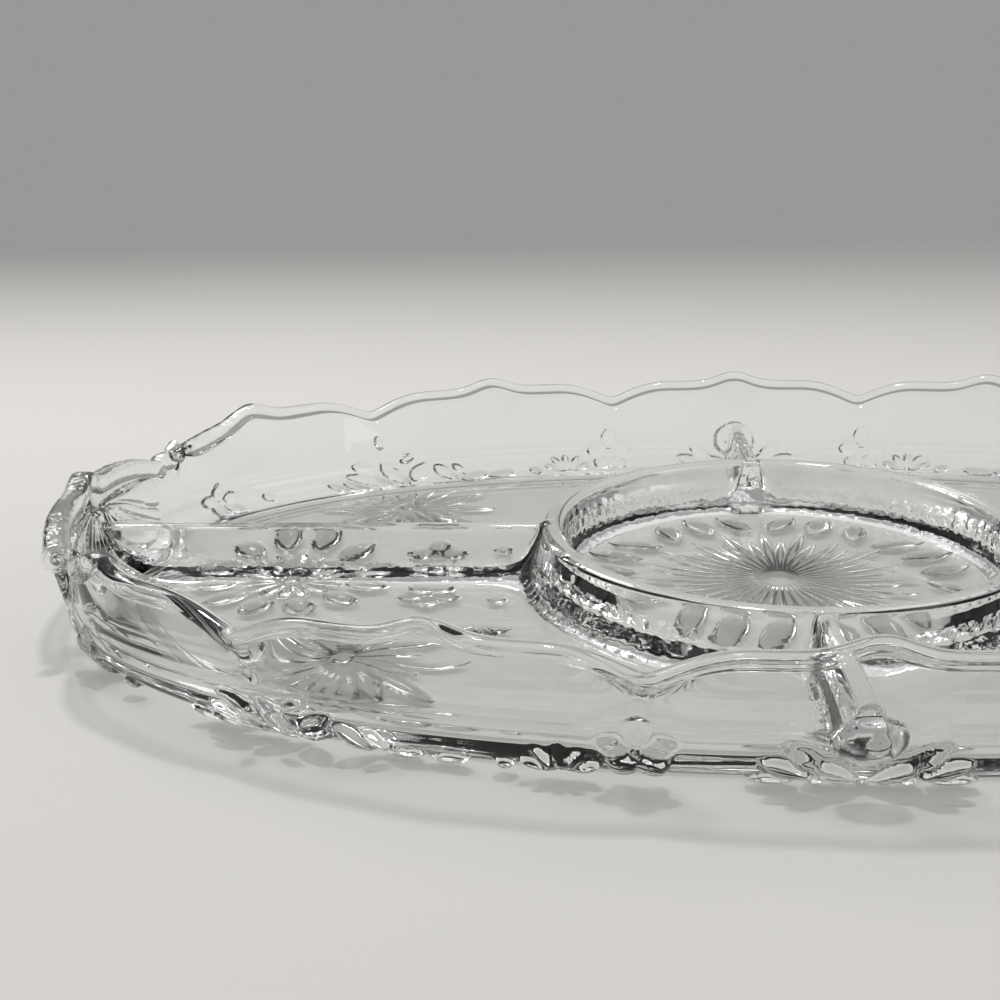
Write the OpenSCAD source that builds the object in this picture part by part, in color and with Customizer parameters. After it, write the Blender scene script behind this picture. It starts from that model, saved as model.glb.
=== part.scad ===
// Oval relish tray of clear pressed glass: a round centre well, four compartments,
// a scalloped rim and a scrolled handle with a fan of flutes at each end.
// The tray stands on the XY plane, X runs along it and Z is up.

/* [Tray] */
// Length of the rim, on the middle of the wall
rim_l = 330; // [316:2:340]
// Width of the rim, over the outer faces of the wall
rim_w = 204; // [196:2:212]
// Height of the rim at the peak of a scallop
rim_h = 32; // [30:0.5:35]
// Depth of the notch between two scallops
notch_dip = 7.2; // [4:0.2:8]
// Squareness of the ovals, where 2 is an ellipse
squareness = 2.3; // [2.2:0.05:2.4]

/* [Wall and floor] */
// Thickness of the wall below the rim
wall_t = 3; // [2.6:0.1:3.4]
// Thickness of the floor
floor_t = 2.6; // [2.2:0.1:3]
// Height of the foot under the floor
foot_h = 1.6; // [1.4:0.1:2]
// Length of the oval base, where the wall starts to turn up
base_l = 313; // [307:1:315]
// Width of the oval base, where the wall starts to turn up
base_w = 178; // [174:1:180]

/* [Centre well] */
// Diameter of the ring of the well, over its top
well_d = 112; // [106:1:116]
// Height of the ring and of the four dividers above the table
ring_h = 17.5; // [15:0.5:19]

/* [Handles] */
// Distance between the two scrolls of a handle
handle_w = 75; // [70:1:80]
// Height of a handle's lip in its middle
arch_h = 30; // [28:0.5:31]
// Width of a handle's lip
lip_w = 5.6; // [5:0.2:6.4]
// Diameter of a scroll
scroll_d = 6.4; // [5.6:0.2:7]
// Flutes of a fan on each side of the divider
flutes = 7; // [5:1:8]

/* [Relief] */
// Depth of the petals and leaves on the underside
relief_h = 1.3; // [0.8:0.1:1.3]
// Rays of the star under the centre well
star_rays = 40; // [32:4:44]

/* [Hidden] */
$fn = 96;

glass = [0.80, 0.90, 0.86, 0.45];
thick_glass = [0.66, 0.80, 0.74, 0.55];
relief_glass = [0.90, 0.95, 0.92, 0.60];

// Half sizes of the rim's middle line, of the base and of the flat floor
rim_a = rim_l / 2;
rim_b = (rim_w - wall_t) / 2;
base_a = base_l / 2;
base_b = base_w / 2;
floor_inset = 9.3;
floor_a = base_a - floor_inset;
floor_b = base_b - floor_inset;
floor_z = foot_h + floor_t;

// The outer cove turns up from the base, and the inner cove from the flat floor
cove_z = 5.9;
cove_a = rim_a - base_a;
cove_b = (rim_b - base_b) / 2;
inner_cove_a = rim_a - wall_t / 2 - 2 - floor_a;
inner_cove_b = base_b + cove_b - wall_t - floor_b;
side_cove_z = 8.5;
end_cove_z = 15;

// Rounded cap of the rim: half width and height of each step above the wall
cap_steps = [[0, 0], [0.25, 0.8], [-0.1, 1.8], [-0.9, 2.5]];
cap_h = 2.5;
cap_swell = 0.55;
lip_steps = [[0, 0], [lip_w / 2 - wall_t / 2, 1.2], [lip_w / 2 - wall_t / 2, 3.6], [lip_w / 3 - wall_t / 2, 4.8]];
lip_h = 4.8;

// Run along the rim from the middle of a long side to the end, against the turn
arc_n = 120;
arc = [
    for (i = 0, run = 0; i <= arc_n; run = run + norm(rim_xy(i + 1) - rim_xy(i)), i = i + 1)
        [run, 90 - 90 * i / arc_n]
];
quarter = arc[arc_n][0];
turn_arc = [for (p = arc) [p[1], p[0]]];
handle_turn = asin(pow(handle_w / 2 / rim_b, squareness / 2));
handle_run = lookup(handle_turn, turn_arc);
last_peak = 0.83 * handle_run;
period = last_peak / 2;
post_half = 3.2;

// Stations along a long wall and along an end wall
half_steps = 5;
side_steps = 4 * half_steps;
slope_steps = 4;
end_steps = 8;
run_step = last_peak / side_steps;

function powered(v, e) = sign(v) * pow(abs(v), e);
function oval(a, b, turn) =
    [a * powered(cos(turn), 2 / squareness), b * powered(sin(turn), 2 / squareness)];
function rim_xy(i) = oval(rim_a, rim_b, 90 - 90 * i / arc_n);
function mix(a, b, f) = a + (b - a) * f;
function smooth(f) = let (g = max(0, min(1, f))) g * g * (3 - 2 * g);
function unit(v) = v / norm(v);

// The turn of the oval at a run counted from the middle of the back, by way of the left end
function turn_of(u) =
    let (v = (u + 8 * quarter) % (4 * quarter), q = floor(v / quarter), r = v - q * quarter)
    q == 0 ? 180 - lookup(r, arc)
    : q == 1 ? 180 + lookup(quarter - r, arc)
    : q == 2 ? 360 - lookup(r, arc)
    : lookup(quarter - r, arc);

// Distance along the rim from the middle of the nearest long side
function from_middle(u) = abs((u + 9 * quarter) % (2 * quarter) - quarter);

// Bracket shape of a scallop: 0 in the rounded notch and 1 on the peak
notch_round = 0.06;
function bracket(p) =
    let (q = sqrt(p * p + notch_round * notch_round) - notch_round)
    0.62 * (1 - pow(1 - min(q / 0.4, 1), 2)) + 0.38 * exp(-pow((1 - p) / 0.176, 2));
function scallop_z(d) = rim_h - notch_dip * (1 - bracket(abs((2 * d / period) % 2 - 1)));
function slope_z(d) =
    let (q = (d - last_peak) / (handle_run - last_peak))
    mix(rim_h - 2.6, arch_h - 5.4, q) + 2.6 * exp(-pow((d - last_peak) / (0.088 * period), 2));

// A handle's lip has a crown in its middle and low shoulders that fall to the scrolls
crown_rise = 2.9;
crown_spread = 4.6;
shoulder_drop = 5.8;
function arch_z(u) =
    let (y = abs(oval(rim_a, rim_b, turn_of(u))[1]))
    arch_h - crown_rise * (1 - exp(-pow(y / crown_spread, 2))) - shoulder_drop * pow(2 * y / handle_w, 4);
function rim_z(u) =
    let (d = from_middle(u))
    d <= last_peak ? scallop_z(d) : slope_z(d);

// The rim's cap swells towards the scrolls
function swell(u) = 1 + cap_swell * smooth((from_middle(u) - 1.5 * period) / (handle_run - 1.5 * period));
function wall_top(u) =
    from_middle(u) > handle_run ? arch_z(u) - lip_h : rim_z(u) - cap_h * swell(u);

// Points of the outer and inner faces at a run and at an angle of the cove
function outer_cove(u, phi) =
    concat(
        oval(base_a + cove_a * sin(phi), base_b + cove_b * sin(phi), turn_of(u)),
        foot_h + cove_z * (1 - cos(phi))
    );
function inner_cove_z(u) =
    mix(side_cove_z, end_cove_z, smooth((from_middle(u) - handle_run) / (quarter - handle_run)));
function inner_cove(u, phi) =
    concat(
        oval(floor_a + inner_cove_a * sin(phi), floor_b + inner_cove_b * sin(phi), turn_of(u)),
        floor_z + inner_cove_z(u) * (1 - cos(phi))
    );
function rim_point(u, off, z) = concat(oval(rim_a + off, rim_b + off, turn_of(u)), z);

// Pairs of outer and inner points, from the floor up
function wall_pairs(u) =
    concat(
        [[concat(oval(floor_a, floor_b, turn_of(u)), foot_h), inner_cove(u, 0)]],
        [for (k = [0:3]) [outer_cove(u, 30 * k), inner_cove(u, 22.5 * (k + 1))]],
        [[rim_point(u, wall_t / 2, wall_top(u)), rim_point(u, -wall_t / 2, wall_top(u))]]
    );
function step_pairs(u, steps, grow, z0) =
    [
        for (k = [0:len(steps) - 1])
            let (
                off = wall_t / 2 * (k == 0 ? 1 : grow) + steps[k][0] * grow,
                z = z0 + steps[k][1] * grow
            )
            [rim_point(u, off, z), rim_point(u, -off, z)]
    ];

// A scroll is a round knob on a short stretch of wall
function knob_pairs(u) =
    let (
        far = (from_middle(u) - handle_run) / (post_half * 1.3),
        r = scroll_d / 2 * sqrt(1 - far * far),
        z = arch_h - 8
    )
    concat(
        [for (k = [0:4]) wall_pairs(u)[k]],
        [
            for (tilt = [-62, -25, 12, 45, 72])
                [rim_point(u, r * cos(tilt), z + r * sin(tilt)), rim_point(u, -r * cos(tilt), z + r * sin(tilt))]
        ]
    );

// A closed solid through rows of outer and inner point pairs
module strip_solid(rows) {
    n = len(rows);
    m = len(rows[0]);
    ring = 2 * m;
    points = [
        for (row = rows)
            each concat([for (k = [0:m - 1]) row[k][0]], [for (k = [m - 1:-1:0]) row[k][1]])
    ];
    sides = [
        for (i = [0:n - 2], k = [0:ring - 1])
            let (a = i * ring + k, b = i * ring + (k + 1) % ring)
            each [[a, a + ring, b], [b, a + ring, b + ring]]
    ];
    last = (n - 1) * ring;
    caps = [
        for (k = [0:m - 2])
            let (o = k, p = k + 1, q = ring - 2 - k, r = ring - 1 - k)
            each [[o, p, r], [p, q, r], [last + o, last + r, last + p], [last + p, last + r, last + q]]
    ];
    polyhedron(points, concat(sides, caps), convexity = 8);
}

function side_runs(middle) =
    [
        for (k = [-side_steps - slope_steps:side_steps + slope_steps])
            let (
                s = abs(k),
                d = s <= side_steps ? s * run_step
                    : mix(last_peak, handle_run - post_half, (s - side_steps) / slope_steps)
            )
            middle + sign(k) * d
    ];
function end_runs(middle) =
    let (half = quarter - handle_run - post_half)
    [
        for (k = [-end_steps:end_steps])
            let (s = abs(k) / end_steps)
            middle + sign(k) * half * mix(s, s * s, 0.45)
    ];
function post_runs(middle) = [for (k = [-2:2]) middle + post_half * k / 2];
function all_runs() =
    [
        for (q = [0:1]) each concat(
            side_runs(2 * q * quarter),
            [(2 * q + 1) * quarter - (quarter - handle_run)],
            end_runs((2 * q + 1) * quarter),
            [(2 * q + 1) * quarter + (quarter - handle_run)]
        )
    ];

module side_wall(middle) color(glass) strip_solid([for (u = side_runs(middle)) wall_pairs(u)]);
module end_wall(middle) color(thick_glass) strip_solid([for (u = end_runs(middle)) wall_pairs(u)]);
module side_rim(middle)
    color(glass) strip_solid([for (u = side_runs(middle)) step_pairs(u, cap_steps, swell(u), wall_top(u))]);
module handle_lip(middle)
    color(thick_glass) strip_solid([for (u = end_runs(middle)) step_pairs(u, lip_steps, 1, wall_top(u))]);
module scrolls(middle)
    color(thick_glass)
        for (way = [-1, 1])
            strip_solid([for (u = post_runs(middle + way * (quarter - handle_run))) knob_pairs(u)]);

// The standing foot, a slim oval rim under the edge of the floor
foot_w = 3;
foot_gap = 1.5;
module foot_rim()
    color(thick_glass)
        linear_extrude(foot_h)
            difference() {
                polygon([for (u = all_runs()) oval(base_a - foot_gap, base_b - foot_gap, turn_of(u))]);
                polygon([
                    for (u = all_runs())
                        oval(base_a - foot_gap - foot_w, base_b - foot_gap - foot_w, turn_of(u))
                ]);
            }

// Flat floor of the four compartments, with a round hole for the well's own floor
well_r = well_d / 2;
well_floor_r = well_r - 4.5;
module base_floor()
    color(glass)
        translate([0, 0, foot_h])
            difference() {
                linear_extrude(floor_t)
                    polygon([for (u = all_runs()) oval(floor_a, floor_b, turn_of(u))]);
                translate([0, 0, -1]) cylinder(r = well_floor_r, h = floor_t + 2);
            }
module well_floor() color(glass) translate([0, 0, foot_h]) cylinder(r = well_floor_r, h = floor_t);

// A rib has filleted feet, drafted faces and a rounded top; way is 1 on its outer face, -1 on the inner
rib_fillet = 3.5;
crown_r = 2;
function foot_curve(x, way) =
    [for (k = [0:4]) [x + way * rib_fillet * (1 - sin(22.5 * k)), floor_z + rib_fillet * (1 - cos(22.5 * k))]];
function crown_curve(x, way, top) =
    [for (k = [0:4]) [x - way * crown_r * (1 - cos(22.5 * k)), top - crown_r * (1 - sin(22.5 * k))]];
function back_to_front(list) = [for (k = [len(list) - 1:-1:0]) list[k]];
function rib_outline(outer_foot, outer_top, inner_top, inner_foot, top) =
    concat(
        foot_curve(outer_foot, 1),
        crown_curve(outer_top, 1, top),
        back_to_front(crown_curve(inner_top, -1, top)),
        back_to_front(foot_curve(inner_foot, -1))
    );

// Ring of the centre well
ring_draft = 2.6;
ring_w = 5;
ring_outer_foot = well_r + ring_draft;
module well_ring()
    color(thick_glass)
        rotate_extrude()
            polygon(rib_outline(ring_outer_foot, well_r, well_r - ring_w, well_r - ring_w - 1, ring_h));

// Everything that lies within the ring's outer face
module ring_core()
    rotate_extrude()
        polygon(concat(
            foot_curve(ring_outer_foot, 1),
            crown_curve(well_r, 1, ring_h),
            [[0, ring_h], [0, floor_z]]
        ));

// A divider runs from the ring to the wall, where its end follows the inner face
divider_foot = 3.4;
divider_top = 2.1;
divider_h = ring_h - 0.3;
module divider(u) {
    along = norm([for (k = [0:1]) inner_cove(u, 90)[k]]);
    end_face = concat([for (k = [0:4]) inner_cove(u, 22.5 * k)], [rim_point(u, -wall_t / 2, wall_top(u))]);
    side_view = concat(
        [[0, floor_z]],
        [for (p = end_face) [norm([p[0], p[1]]), p[2]]],
        [[0, wall_top(u)]]
    );
    color(glass)
        rotate(turn_of(u))
            difference() {
                intersection() {
                    rotate([90, 0, 90])
                        linear_extrude(along + wall_t)
                            polygon(rib_outline(divider_foot, divider_top, -divider_top, -divider_foot, divider_h));
                    rotate([90, 0, 0])
                        linear_extrude(6 * divider_foot, center = true) polygon(side_view);
                }
                ring_core();
            }
}

// Points on the inner face of the wall: v counts 22.5 degree steps of the cove, then the wall
function inner_at(u, v) =
    let (k = min(floor(v), 4), pairs = wall_pairs(u), low = k == 0 ? pairs[0][1] : pairs[k][1])
    mix(low, pairs[k + 1][1], v - k);

// A fan is a scallop shell of flutes that spread from the hub under the lip, on both sides of the divider.
// Its sweep is 0 beside the divider and 1 beside the scroll, and t runs from the hub to a flute's end.
flute_cuts = 3;
flute_high = 2;
valley_high = 0.4;
fan_reach = [1, 0.93, 0.78, 0.6, 0.4, 0.2, 0];
fan_height = [0.5, 1, 1, 0.9, 0.75, 0.55, 0.4];
hub_v = 4.5;
hub_u = [1.6, 5];
first_flute = 7.4;
function fan_point(middle, way, sweep, t, lift) =
    let (
        last_flute = quarter - handle_run - post_half - 1,
        reach = mix(first_flute, last_flute, sweep),
        u = middle + way * mix(mix(hub_u[0], hub_u[1], sweep), reach, pow(t, 0.55)),
        v = mix(hub_v, mix(0.1, 4.1, sweep), pow(t, 1.15)),
        here = inner_at(u, v),
        normal = unit(cross(inner_at(u, v + 0.05) - here, inner_at(u + 0.3, v) - here))
    )
    here + lift * normal;
function fan_column(middle, way, sweep) =
    let (f = 2 * ((sweep * flutes) % 1) - 1, round = sqrt(1 - f * f))
    [
        for (k = [0:len(fan_reach) - 1])
            let (
                t = fan_reach[k] * (0.94 + 0.06 * round),
                lift = mix(valley_high, flute_high, round) * fan_height[k]
            )
            [fan_point(middle, way, sweep, t, 0), fan_point(middle, way, sweep, t, lift)]
    ];
module fan(middle) {
    columns = flute_cuts * flutes;
    color(thick_glass) {
        strip_solid([for (j = [0:columns]) fan_column(middle, 1, j / columns)]);
        strip_solid([for (j = [columns:-1:0]) fan_column(middle, -1, j / columns)]);
    }
}

// Points on the outer face of the wall: v is the distance up from the base, lift stands out of it
cove_run = 9.6;
wall_run = 22.5;
function outer_row(v) = v < cove_run ? 1 + 3 * v / cove_run : 4 + (v - cove_run) / wall_run;
function outer_at(u, row) = let (k = min(floor(row), 4)) mix(wall_pairs(u)[k][0], wall_pairs(u)[k + 1][0], row - k);
function wall_point(u, v, lift) =
    let (
        row = outer_row(v),
        here = outer_at(u, row),
        normal = unit(cross(outer_at(u + 0.3, row) - here, outer_at(u, row + 0.05) - here))
    )
    here + lift * normal;

// Places for relief: p runs sideways, q towards the rim and lift out of the glass
function on_floor(x, y, way) = function (p, q, lift) [x + way * p, y + way * q, foot_h - lift];
function run_of(x, way) =
    let (turn = acos(pow(abs(x) / (base_a + cove_a / 2), squareness / 2)), run = lookup(turn, turn_arc))
    way > 0 ? -sign(x) * run : 2 * quarter + sign(x) * run;
function on_wall(x, way) = let (u = run_of(x, way)) function (p, q, lift) wall_point(u - p, q, lift);

// A petal is pointed at both ends and has a ridge along its middle; more cuts make it rounder
function petal_shape(t) = pow(sin(180 * t), 0.7);
module petal(place, p, q, aim, size, half, high, cuts = 3) {
    tip = cuts + 1;
    function spot(k, s, lift) =
        let (along = (k / tip - 0.5) * size)
        place(p + along * cos(aim) - s * sin(aim), q + along * sin(aim) + s * cos(aim), lift);
    function near(k) = k;
    function far(k) = 2 * tip - k;
    function top(k) = 2 * tip - 1 + k;
    points = concat(
        [for (k = [0:tip]) spot(k, -half * petal_shape(k / tip), 0)],
        [for (k = [cuts:-1:1]) spot(k, half * petal_shape(k / tip), 0)],
        [for (k = [1:cuts]) spot(k, 0, high * petal_shape(k / tip))]
    );
    faces = concat(
        [for (k = [1:2 * cuts]) [0, k + 1, k]],
        [[0, near(1), top(1)], [near(cuts), tip, top(cuts)], [tip, far(cuts), top(cuts)], [far(1), 0, top(1)]],
        [
            for (k = [1:cuts - 1])
                each [
                    [near(k), top(k + 1), top(k)], [near(k), near(k + 1), top(k + 1)],
                    [far(k + 1), top(k), top(k + 1)], [far(k + 1), far(k), top(k)]
                ]
        ]
    );
    polyhedron(points, faces);
}

// A round bud, also the domed shell where a divider meets the wall
module bud(place, p, q, r, high, sides = 8) {
    points = concat(
        [for (k = [0:sides - 1]) place(p + r * cos(360 * k / sides), q + r * sin(360 * k / sides), 0)],
        [
            for (k = [0:sides - 1])
                place(p + 0.7 * r * cos(360 * k / sides), q + 0.7 * r * sin(360 * k / sides), 0.72 * high)
        ],
        [place(p, q, high)]
    );
    faces = concat(
        [for (k = [1:sides - 2]) [0, k + 1, k]],
        [
            for (k = [0:sides - 1])
                let (n = (k + 1) % sides)
                each [[k, n, sides + k], [n, sides + n, sides + k], [sides + k, sides + n, 2 * sides]]
        ]
    );
    polyhedron(points, faces);
}

// Petals round a centre, from radius r0 to r1
module petals(place, angles, r0, r1, half, cuts = 3)
    for (a = angles)
        petal(place, (r0 + r1) / 2 * cos(a), (r0 + r1) / 2 * sin(a), a, r1 - r0, half, relief_h, cuts);

module daisy(x)
    color(relief_glass) {
        place = on_floor(x, 0, 1);
        bud(place, 0, 0, 1.8, relief_h, 6);
        petals(place, [for (k = [0:15]) 22.5 * k], 2.6, 13.2, 1.2, 2);
        petals(place, [for (k = [0:11]) 30 * k + 15], 13.8, 24, 2.9);
    }

// The longest that a ray on the floor may be before it meets the foot
clear_a = base_a - foot_gap - foot_w - 1;
clear_b = base_b - foot_gap - foot_w - 1;
function free_reach(x, y, way, a, most) =
    max([
        for (r = [4:0.5:most])
            let (across = abs(x + way * r * cos(a)), deep = abs(y + way * r * sin(a)))
            if (pow(across / clear_a, squareness) + pow(deep / clear_b, squareness) < 1) r
    ]);

// A large daisy on the floor and, beyond the foot, a loose bunch of petals that climbs the wall.
// Each petal of the bunch has its place along and up the wall, its aim, length and half width.
spray_x = 95;
spray_y = 55;
spray_rays = 20;
bunch = [
    [-6, 7, 119, 11.5, 2.3], [2.3, 7, 45, 10.5, 2.3], [9.8, 5.8, 122, 8.5, 2.2], [17.5, 2.8, 20, 10, 1.7],
    [-14.3, 10.2, 157, 8.5, 1.8], [-14, 5.6, 156, 13.5, 2.2], [-19.5, 3.6, 136, 7, 1.7], [26.4, 3.2, 12, 8.6, 1.5]
];
bunch_buds = [[14.6, 6.8, 127, 5.5, 1.3], [-24.6, 4.1, 134, 5.8, 1.3], [-1, 12.4, 28, 5, 1.2], [-9.3, 16.7, 108, 4, 1.2]];
module spray(x, way) {
    flat_place = on_floor(x, way * spray_y, way);
    steep_place = on_wall(x, way);
    side = x * way < 0 ? 1 : -1;
    module climb(list, cuts)
        for (b = list) petal(steep_place, side * b[0], b[1], 90 + side * (b[2] - 90), b[3], b[4], relief_h, cuts);
    color(relief_glass) {
        bud(flat_place, 0, 0, 1.6, relief_h, 6);
        for (k = [0:spray_rays - 1]) {
            a = 360 * k / spray_rays;
            petals(flat_place, [a], 2.4, free_reach(x, way * spray_y, way, a, k % 2 == 0 ? 25 : 17), 1.6, 2);
        }
        climb(bunch, 3);
        climb(bunch_buds, 2);
    }
}

// Domed shell with leaves and berries on the outside of the wall, at the end of a divider
module shell(way) {
    place = on_wall(0.001, way);
    color(relief_glass) {
        bud(place, 0, 14.2, 6, 2.2 * relief_h, 12);
        for (side = [-1, 1]) {
            petal(place, side * 5, 5.6, 90 - side * 58, 9.5, 2.1, relief_h);
            petal(place, side * 10.4, 10.4, 90 - side * 45, 8, 2.1, relief_h);
            petal(place, side * 13.2, 6.8, 90 - side * 66, 9, 2, relief_h);
            petal(place, side * 15.6, 2.9, 90 - side * 88, 8.6, 1.9, relief_h);
        }
        for (k = [-2:2]) bud(place, 4 * k, 2.3, 1.8, relief_h, 6);
    }
}

module blossom(place, q, r) {
    for (k = [0:4]) {
        a = 72 * k + 90;
        petal(place, 0.58 * r * cos(a), q + 0.58 * r * sin(a), a, 0.84 * r, 0.34 * r, relief_h, 2);
    }
    bud(place, 0, q, 0.14 * r, relief_h * 0.8, 6);
}
module small_blossoms()
    color(relief_glass)
        for (side = [-1, 1], way = [-1, 1]) {
            blossom(on_floor(side * 82, way * 11, way), 0, 7);
            blossom(on_wall(side * 37, way), 9.8, 7);
            blossom(on_wall(side * 144, way), 7.4, 6.4);
        }

module sprig(place, q, r)
    for (a = [30:30:150]) petal(place, 0.6 * r * cos(a), q + 0.6 * r * sin(a), a, 0.8 * r, 0.12 * r, relief_h, 2);
module leaf_sprigs()
    color(relief_glass)
        for (side = [-1, 1], way = [-1, 1]) {
            sprig(on_wall(side * 50, way), 2.4, 8);
            bud(on_wall(side * 60, way), 0, 4, 1.7, relief_h, 6);
            bud(on_wall(side * 134, way), 0, 5.4, 1.7, relief_h, 6);
            sprig(on_floor(side * 69, way * 28, way), 0, 7);
            bud(on_floor(side * 66, way * 14, way), 0, 0, 1.8, relief_h, 6);
        }

// Star of rays under the well, inside a wreath of broad leaves
ray_tips = [34, 27, 31, 27];
module well_star()
    color(relief_glass) {
        place = on_floor(0, 0, 1);
        for (k = [0:star_rays - 1]) petals(place, [360 * k / star_rays], 4.4, ray_tips[k % 4], 1.1, 2);
        for (k = [0:7]) {
            a = 45 * k;
            for (side = [-1, 1])
                petal(place, 40.5 * cos(a + 9 * side), 40.5 * sin(a + 9 * side), a + 32 * side, 12.6, 2.7, relief_h);
            petals(place, [a + 22.5], 34.6, 47.5, 3.1);
        }
    }

left_end = quarter;
right_end = 3 * quarter;
front = 2 * quarter;
back = 0;

foot_rim();
base_floor();
well_floor();
well_ring();
divider(left_end);  // left_divider
divider(right_end);  // right_divider
divider(front);  // front_divider
divider(back);  // back_divider
side_wall(front);  // front_wall
side_wall(back);  // back_wall
end_wall(left_end);  // left_end_wall
end_wall(right_end);  // right_end_wall
side_rim(front);  // front_rim
side_rim(back);  // back_rim
handle_lip(left_end);  // left_handle_lip
handle_lip(right_end);  // right_handle_lip
scrolls(left_end);  // left_scrolls
scrolls(right_end);  // right_scrolls
fan(left_end);  // left_fan
fan(right_end);  // right_fan
well_star();
daisy(-116);  // left_daisy
daisy(116);  // right_daisy
spray(-spray_x, -1);  // front_left_spray
spray(spray_x, -1);  // front_right_spray
spray(-spray_x, 1);  // back_left_spray
spray(spray_x, 1);  // back_right_spray
shell(-1);  // front_shell
shell(1);  // back_shell
small_blossoms();
leaf_sprigs();
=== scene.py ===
"""Oval relish tray of clear pressed glass, dressed over its CAD frame.

The whole tray is one closed glass surface. It is worked out on one grid that runs round
the oval and from the middle of the upper side over the rim to the middle of the
underside. The grid is then cut into the pieces that the CAD nodes name, so that light
passes from piece to piece as it does in one casting.
"""

import logging
import math
from dataclasses import dataclass, field
from enum import Enum
from typing import Any, Iterable

import bpy
import numpy as np
from mathutils import Matrix, Vector

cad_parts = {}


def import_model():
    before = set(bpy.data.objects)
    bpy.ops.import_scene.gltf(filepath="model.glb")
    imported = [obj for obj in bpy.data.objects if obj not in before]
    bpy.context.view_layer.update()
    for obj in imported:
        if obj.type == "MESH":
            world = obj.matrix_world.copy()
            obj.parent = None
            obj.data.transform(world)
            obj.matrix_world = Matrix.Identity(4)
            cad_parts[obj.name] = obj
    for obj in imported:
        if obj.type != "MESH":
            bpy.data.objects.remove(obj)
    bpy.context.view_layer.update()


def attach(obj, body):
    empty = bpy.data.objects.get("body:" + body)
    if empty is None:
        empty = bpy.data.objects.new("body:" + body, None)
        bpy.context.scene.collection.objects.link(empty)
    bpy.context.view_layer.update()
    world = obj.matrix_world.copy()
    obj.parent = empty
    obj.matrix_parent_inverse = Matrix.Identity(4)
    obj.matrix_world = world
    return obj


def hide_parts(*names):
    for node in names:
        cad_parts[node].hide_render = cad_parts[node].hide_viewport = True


LOG = logging.getLogger("relish_tray")
MM = 0.001
BODY = "root"
STIPPLE = "stipple"
PITCH = 0.6
# Growth of the radius within which the height of a petal or bud is worked out.
MARGIN = 1.02


class Finish(Enum):
    """Named finishes of the glass."""

    CLEAR = "clear_glass"
    BEAD = "bead_glass"
    RELIEF = "relief_glass"
    STIPPLED = "stippled_glass"


class Section(Enum):
    """Stretches of the grid from the middle of the upper side to the middle of the underside."""

    WELL = 0
    RING = 1
    FLOOR = 2
    INNER_COVE = 3
    INNER_WALL = 4
    CAP = 5
    OUTER_WALL = 6
    OUTER_COVE = 7
    FOOT = 8
    UNDERSIDE = 9


@dataclass(frozen=True)
class TraySizes:
    """Sizes of the tray in millimetres, the same as those of its CAD source.

    Attributes:
        rim_a: Half length of the rim's line.
        rim_b: Its half width.
        base_a: Half length of the outside at the wall's foot.
        base_b: Its half width.
        squareness: Exponent of the oval, where 2 is an ellipse.
        floor_inset: Distance of the flat floor's edge inside the base.
        floor_z: Height of the floor's upper side.
        foot_h: Height of the foot ring that the tray stands on.
        wall_t: Thickness of the wall.
        cove_z: Height of the rounding at the foot of the wall's outside.
        side_cove_z: Height of the inner rounding on the long sides.
        end_cove_z: Its height at the ends.
        rim_h: Height of the rim's peaks.
        notch_dip: Depth of the notches between the scallops.
        notch_round: Rounding of a notch, as a share of half a scallop.
        arch_h: Height of the handle's arch.
        crown_rise: Depth by which the lip falls beside its crown.
        crown_spread: Distance over which it does.
        shoulder_drop: Fall of the lip towards its scrolls.
        lip_w: Width of the handle's lip.
        lip_h: Its height.
        handle_w: Width of the handle between the scrolls.
        scroll_d: Diameter of a scroll.
        scroll_drop: Depth of a scroll's middle under the handle's arch.
        well_r: Outer radius of the well's ring.
        well_floor_inset: Distance of the well's own floor inside that radius.
        ring_h: Height of that ring.
        ring_w: Its width.
        ring_draft: Distance by which its outer face leans out towards the foot.
        rib_fillet: Fillet at the foot of the ring and the dividers.
        crown_r: Rounding of their tops.
        divider_foot: Half width of a divider at its foot.
        divider_top: Its half width at the top.
        relief_h: Height of the relief.
        star_rays: Count of the rays under the well.
        flutes: Count of the fan's fingers on one side of a divider.
    """

    rim_a: float = 165.0
    rim_b: float = 100.5
    base_a: float = 156.5
    base_b: float = 89.0
    squareness: float = 2.3
    floor_inset: float = 9.3
    floor_z: float = 4.2
    foot_h: float = 1.6
    wall_t: float = 3.0
    cove_z: float = 5.9
    side_cove_z: float = 8.5
    end_cove_z: float = 15.0
    rim_h: float = 32.0
    notch_dip: float = 7.2
    notch_round: float = 0.06
    arch_h: float = 30.0
    crown_rise: float = 2.9
    crown_spread: float = 4.6
    shoulder_drop: float = 5.8
    lip_w: float = 5.6
    lip_h: float = 4.8
    handle_w: float = 75.0
    scroll_d: float = 6.4
    scroll_drop: float = 8.0
    well_r: float = 56.0
    well_floor_inset: float = 4.5
    ring_h: float = 17.5
    ring_w: float = 5.0
    ring_draft: float = 2.6
    rib_fillet: float = 3.5
    crown_r: float = 2.0
    divider_foot: float = 3.4
    divider_top: float = 2.1
    relief_h: float = 1.3
    star_rays: int = 40
    flutes: int = 7

    @property
    def floor_a(self) -> float:
        """Half length of the flat floor."""
        return self.base_a - self.floor_inset

    @property
    def floor_b(self) -> float:
        """Half width of the flat floor."""
        return self.base_b - self.floor_inset

    @property
    def well_floor_r(self) -> float:
        """Radius of the well's own floor."""
        return self.well_r - self.well_floor_inset

    @property
    def scroll_z(self) -> float:
        """Height of the middle of a scroll."""
        return self.arch_h - self.scroll_drop

    @property
    def divider_h(self) -> float:
        """Height of the dividers, a little under the ring's."""
        return self.ring_h - 0.3


def mix(low: np.ndarray, high: np.ndarray, share: np.ndarray) -> np.ndarray:
    """Value between low and high at a share from 0 to 1."""
    return low + (high - low) * share


def smooth(share: np.ndarray) -> np.ndarray:
    """Smooth step from 0 to 1."""
    g = np.clip(share, 0.0, 1.0)
    return g * g * (3 - 2 * g)


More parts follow.
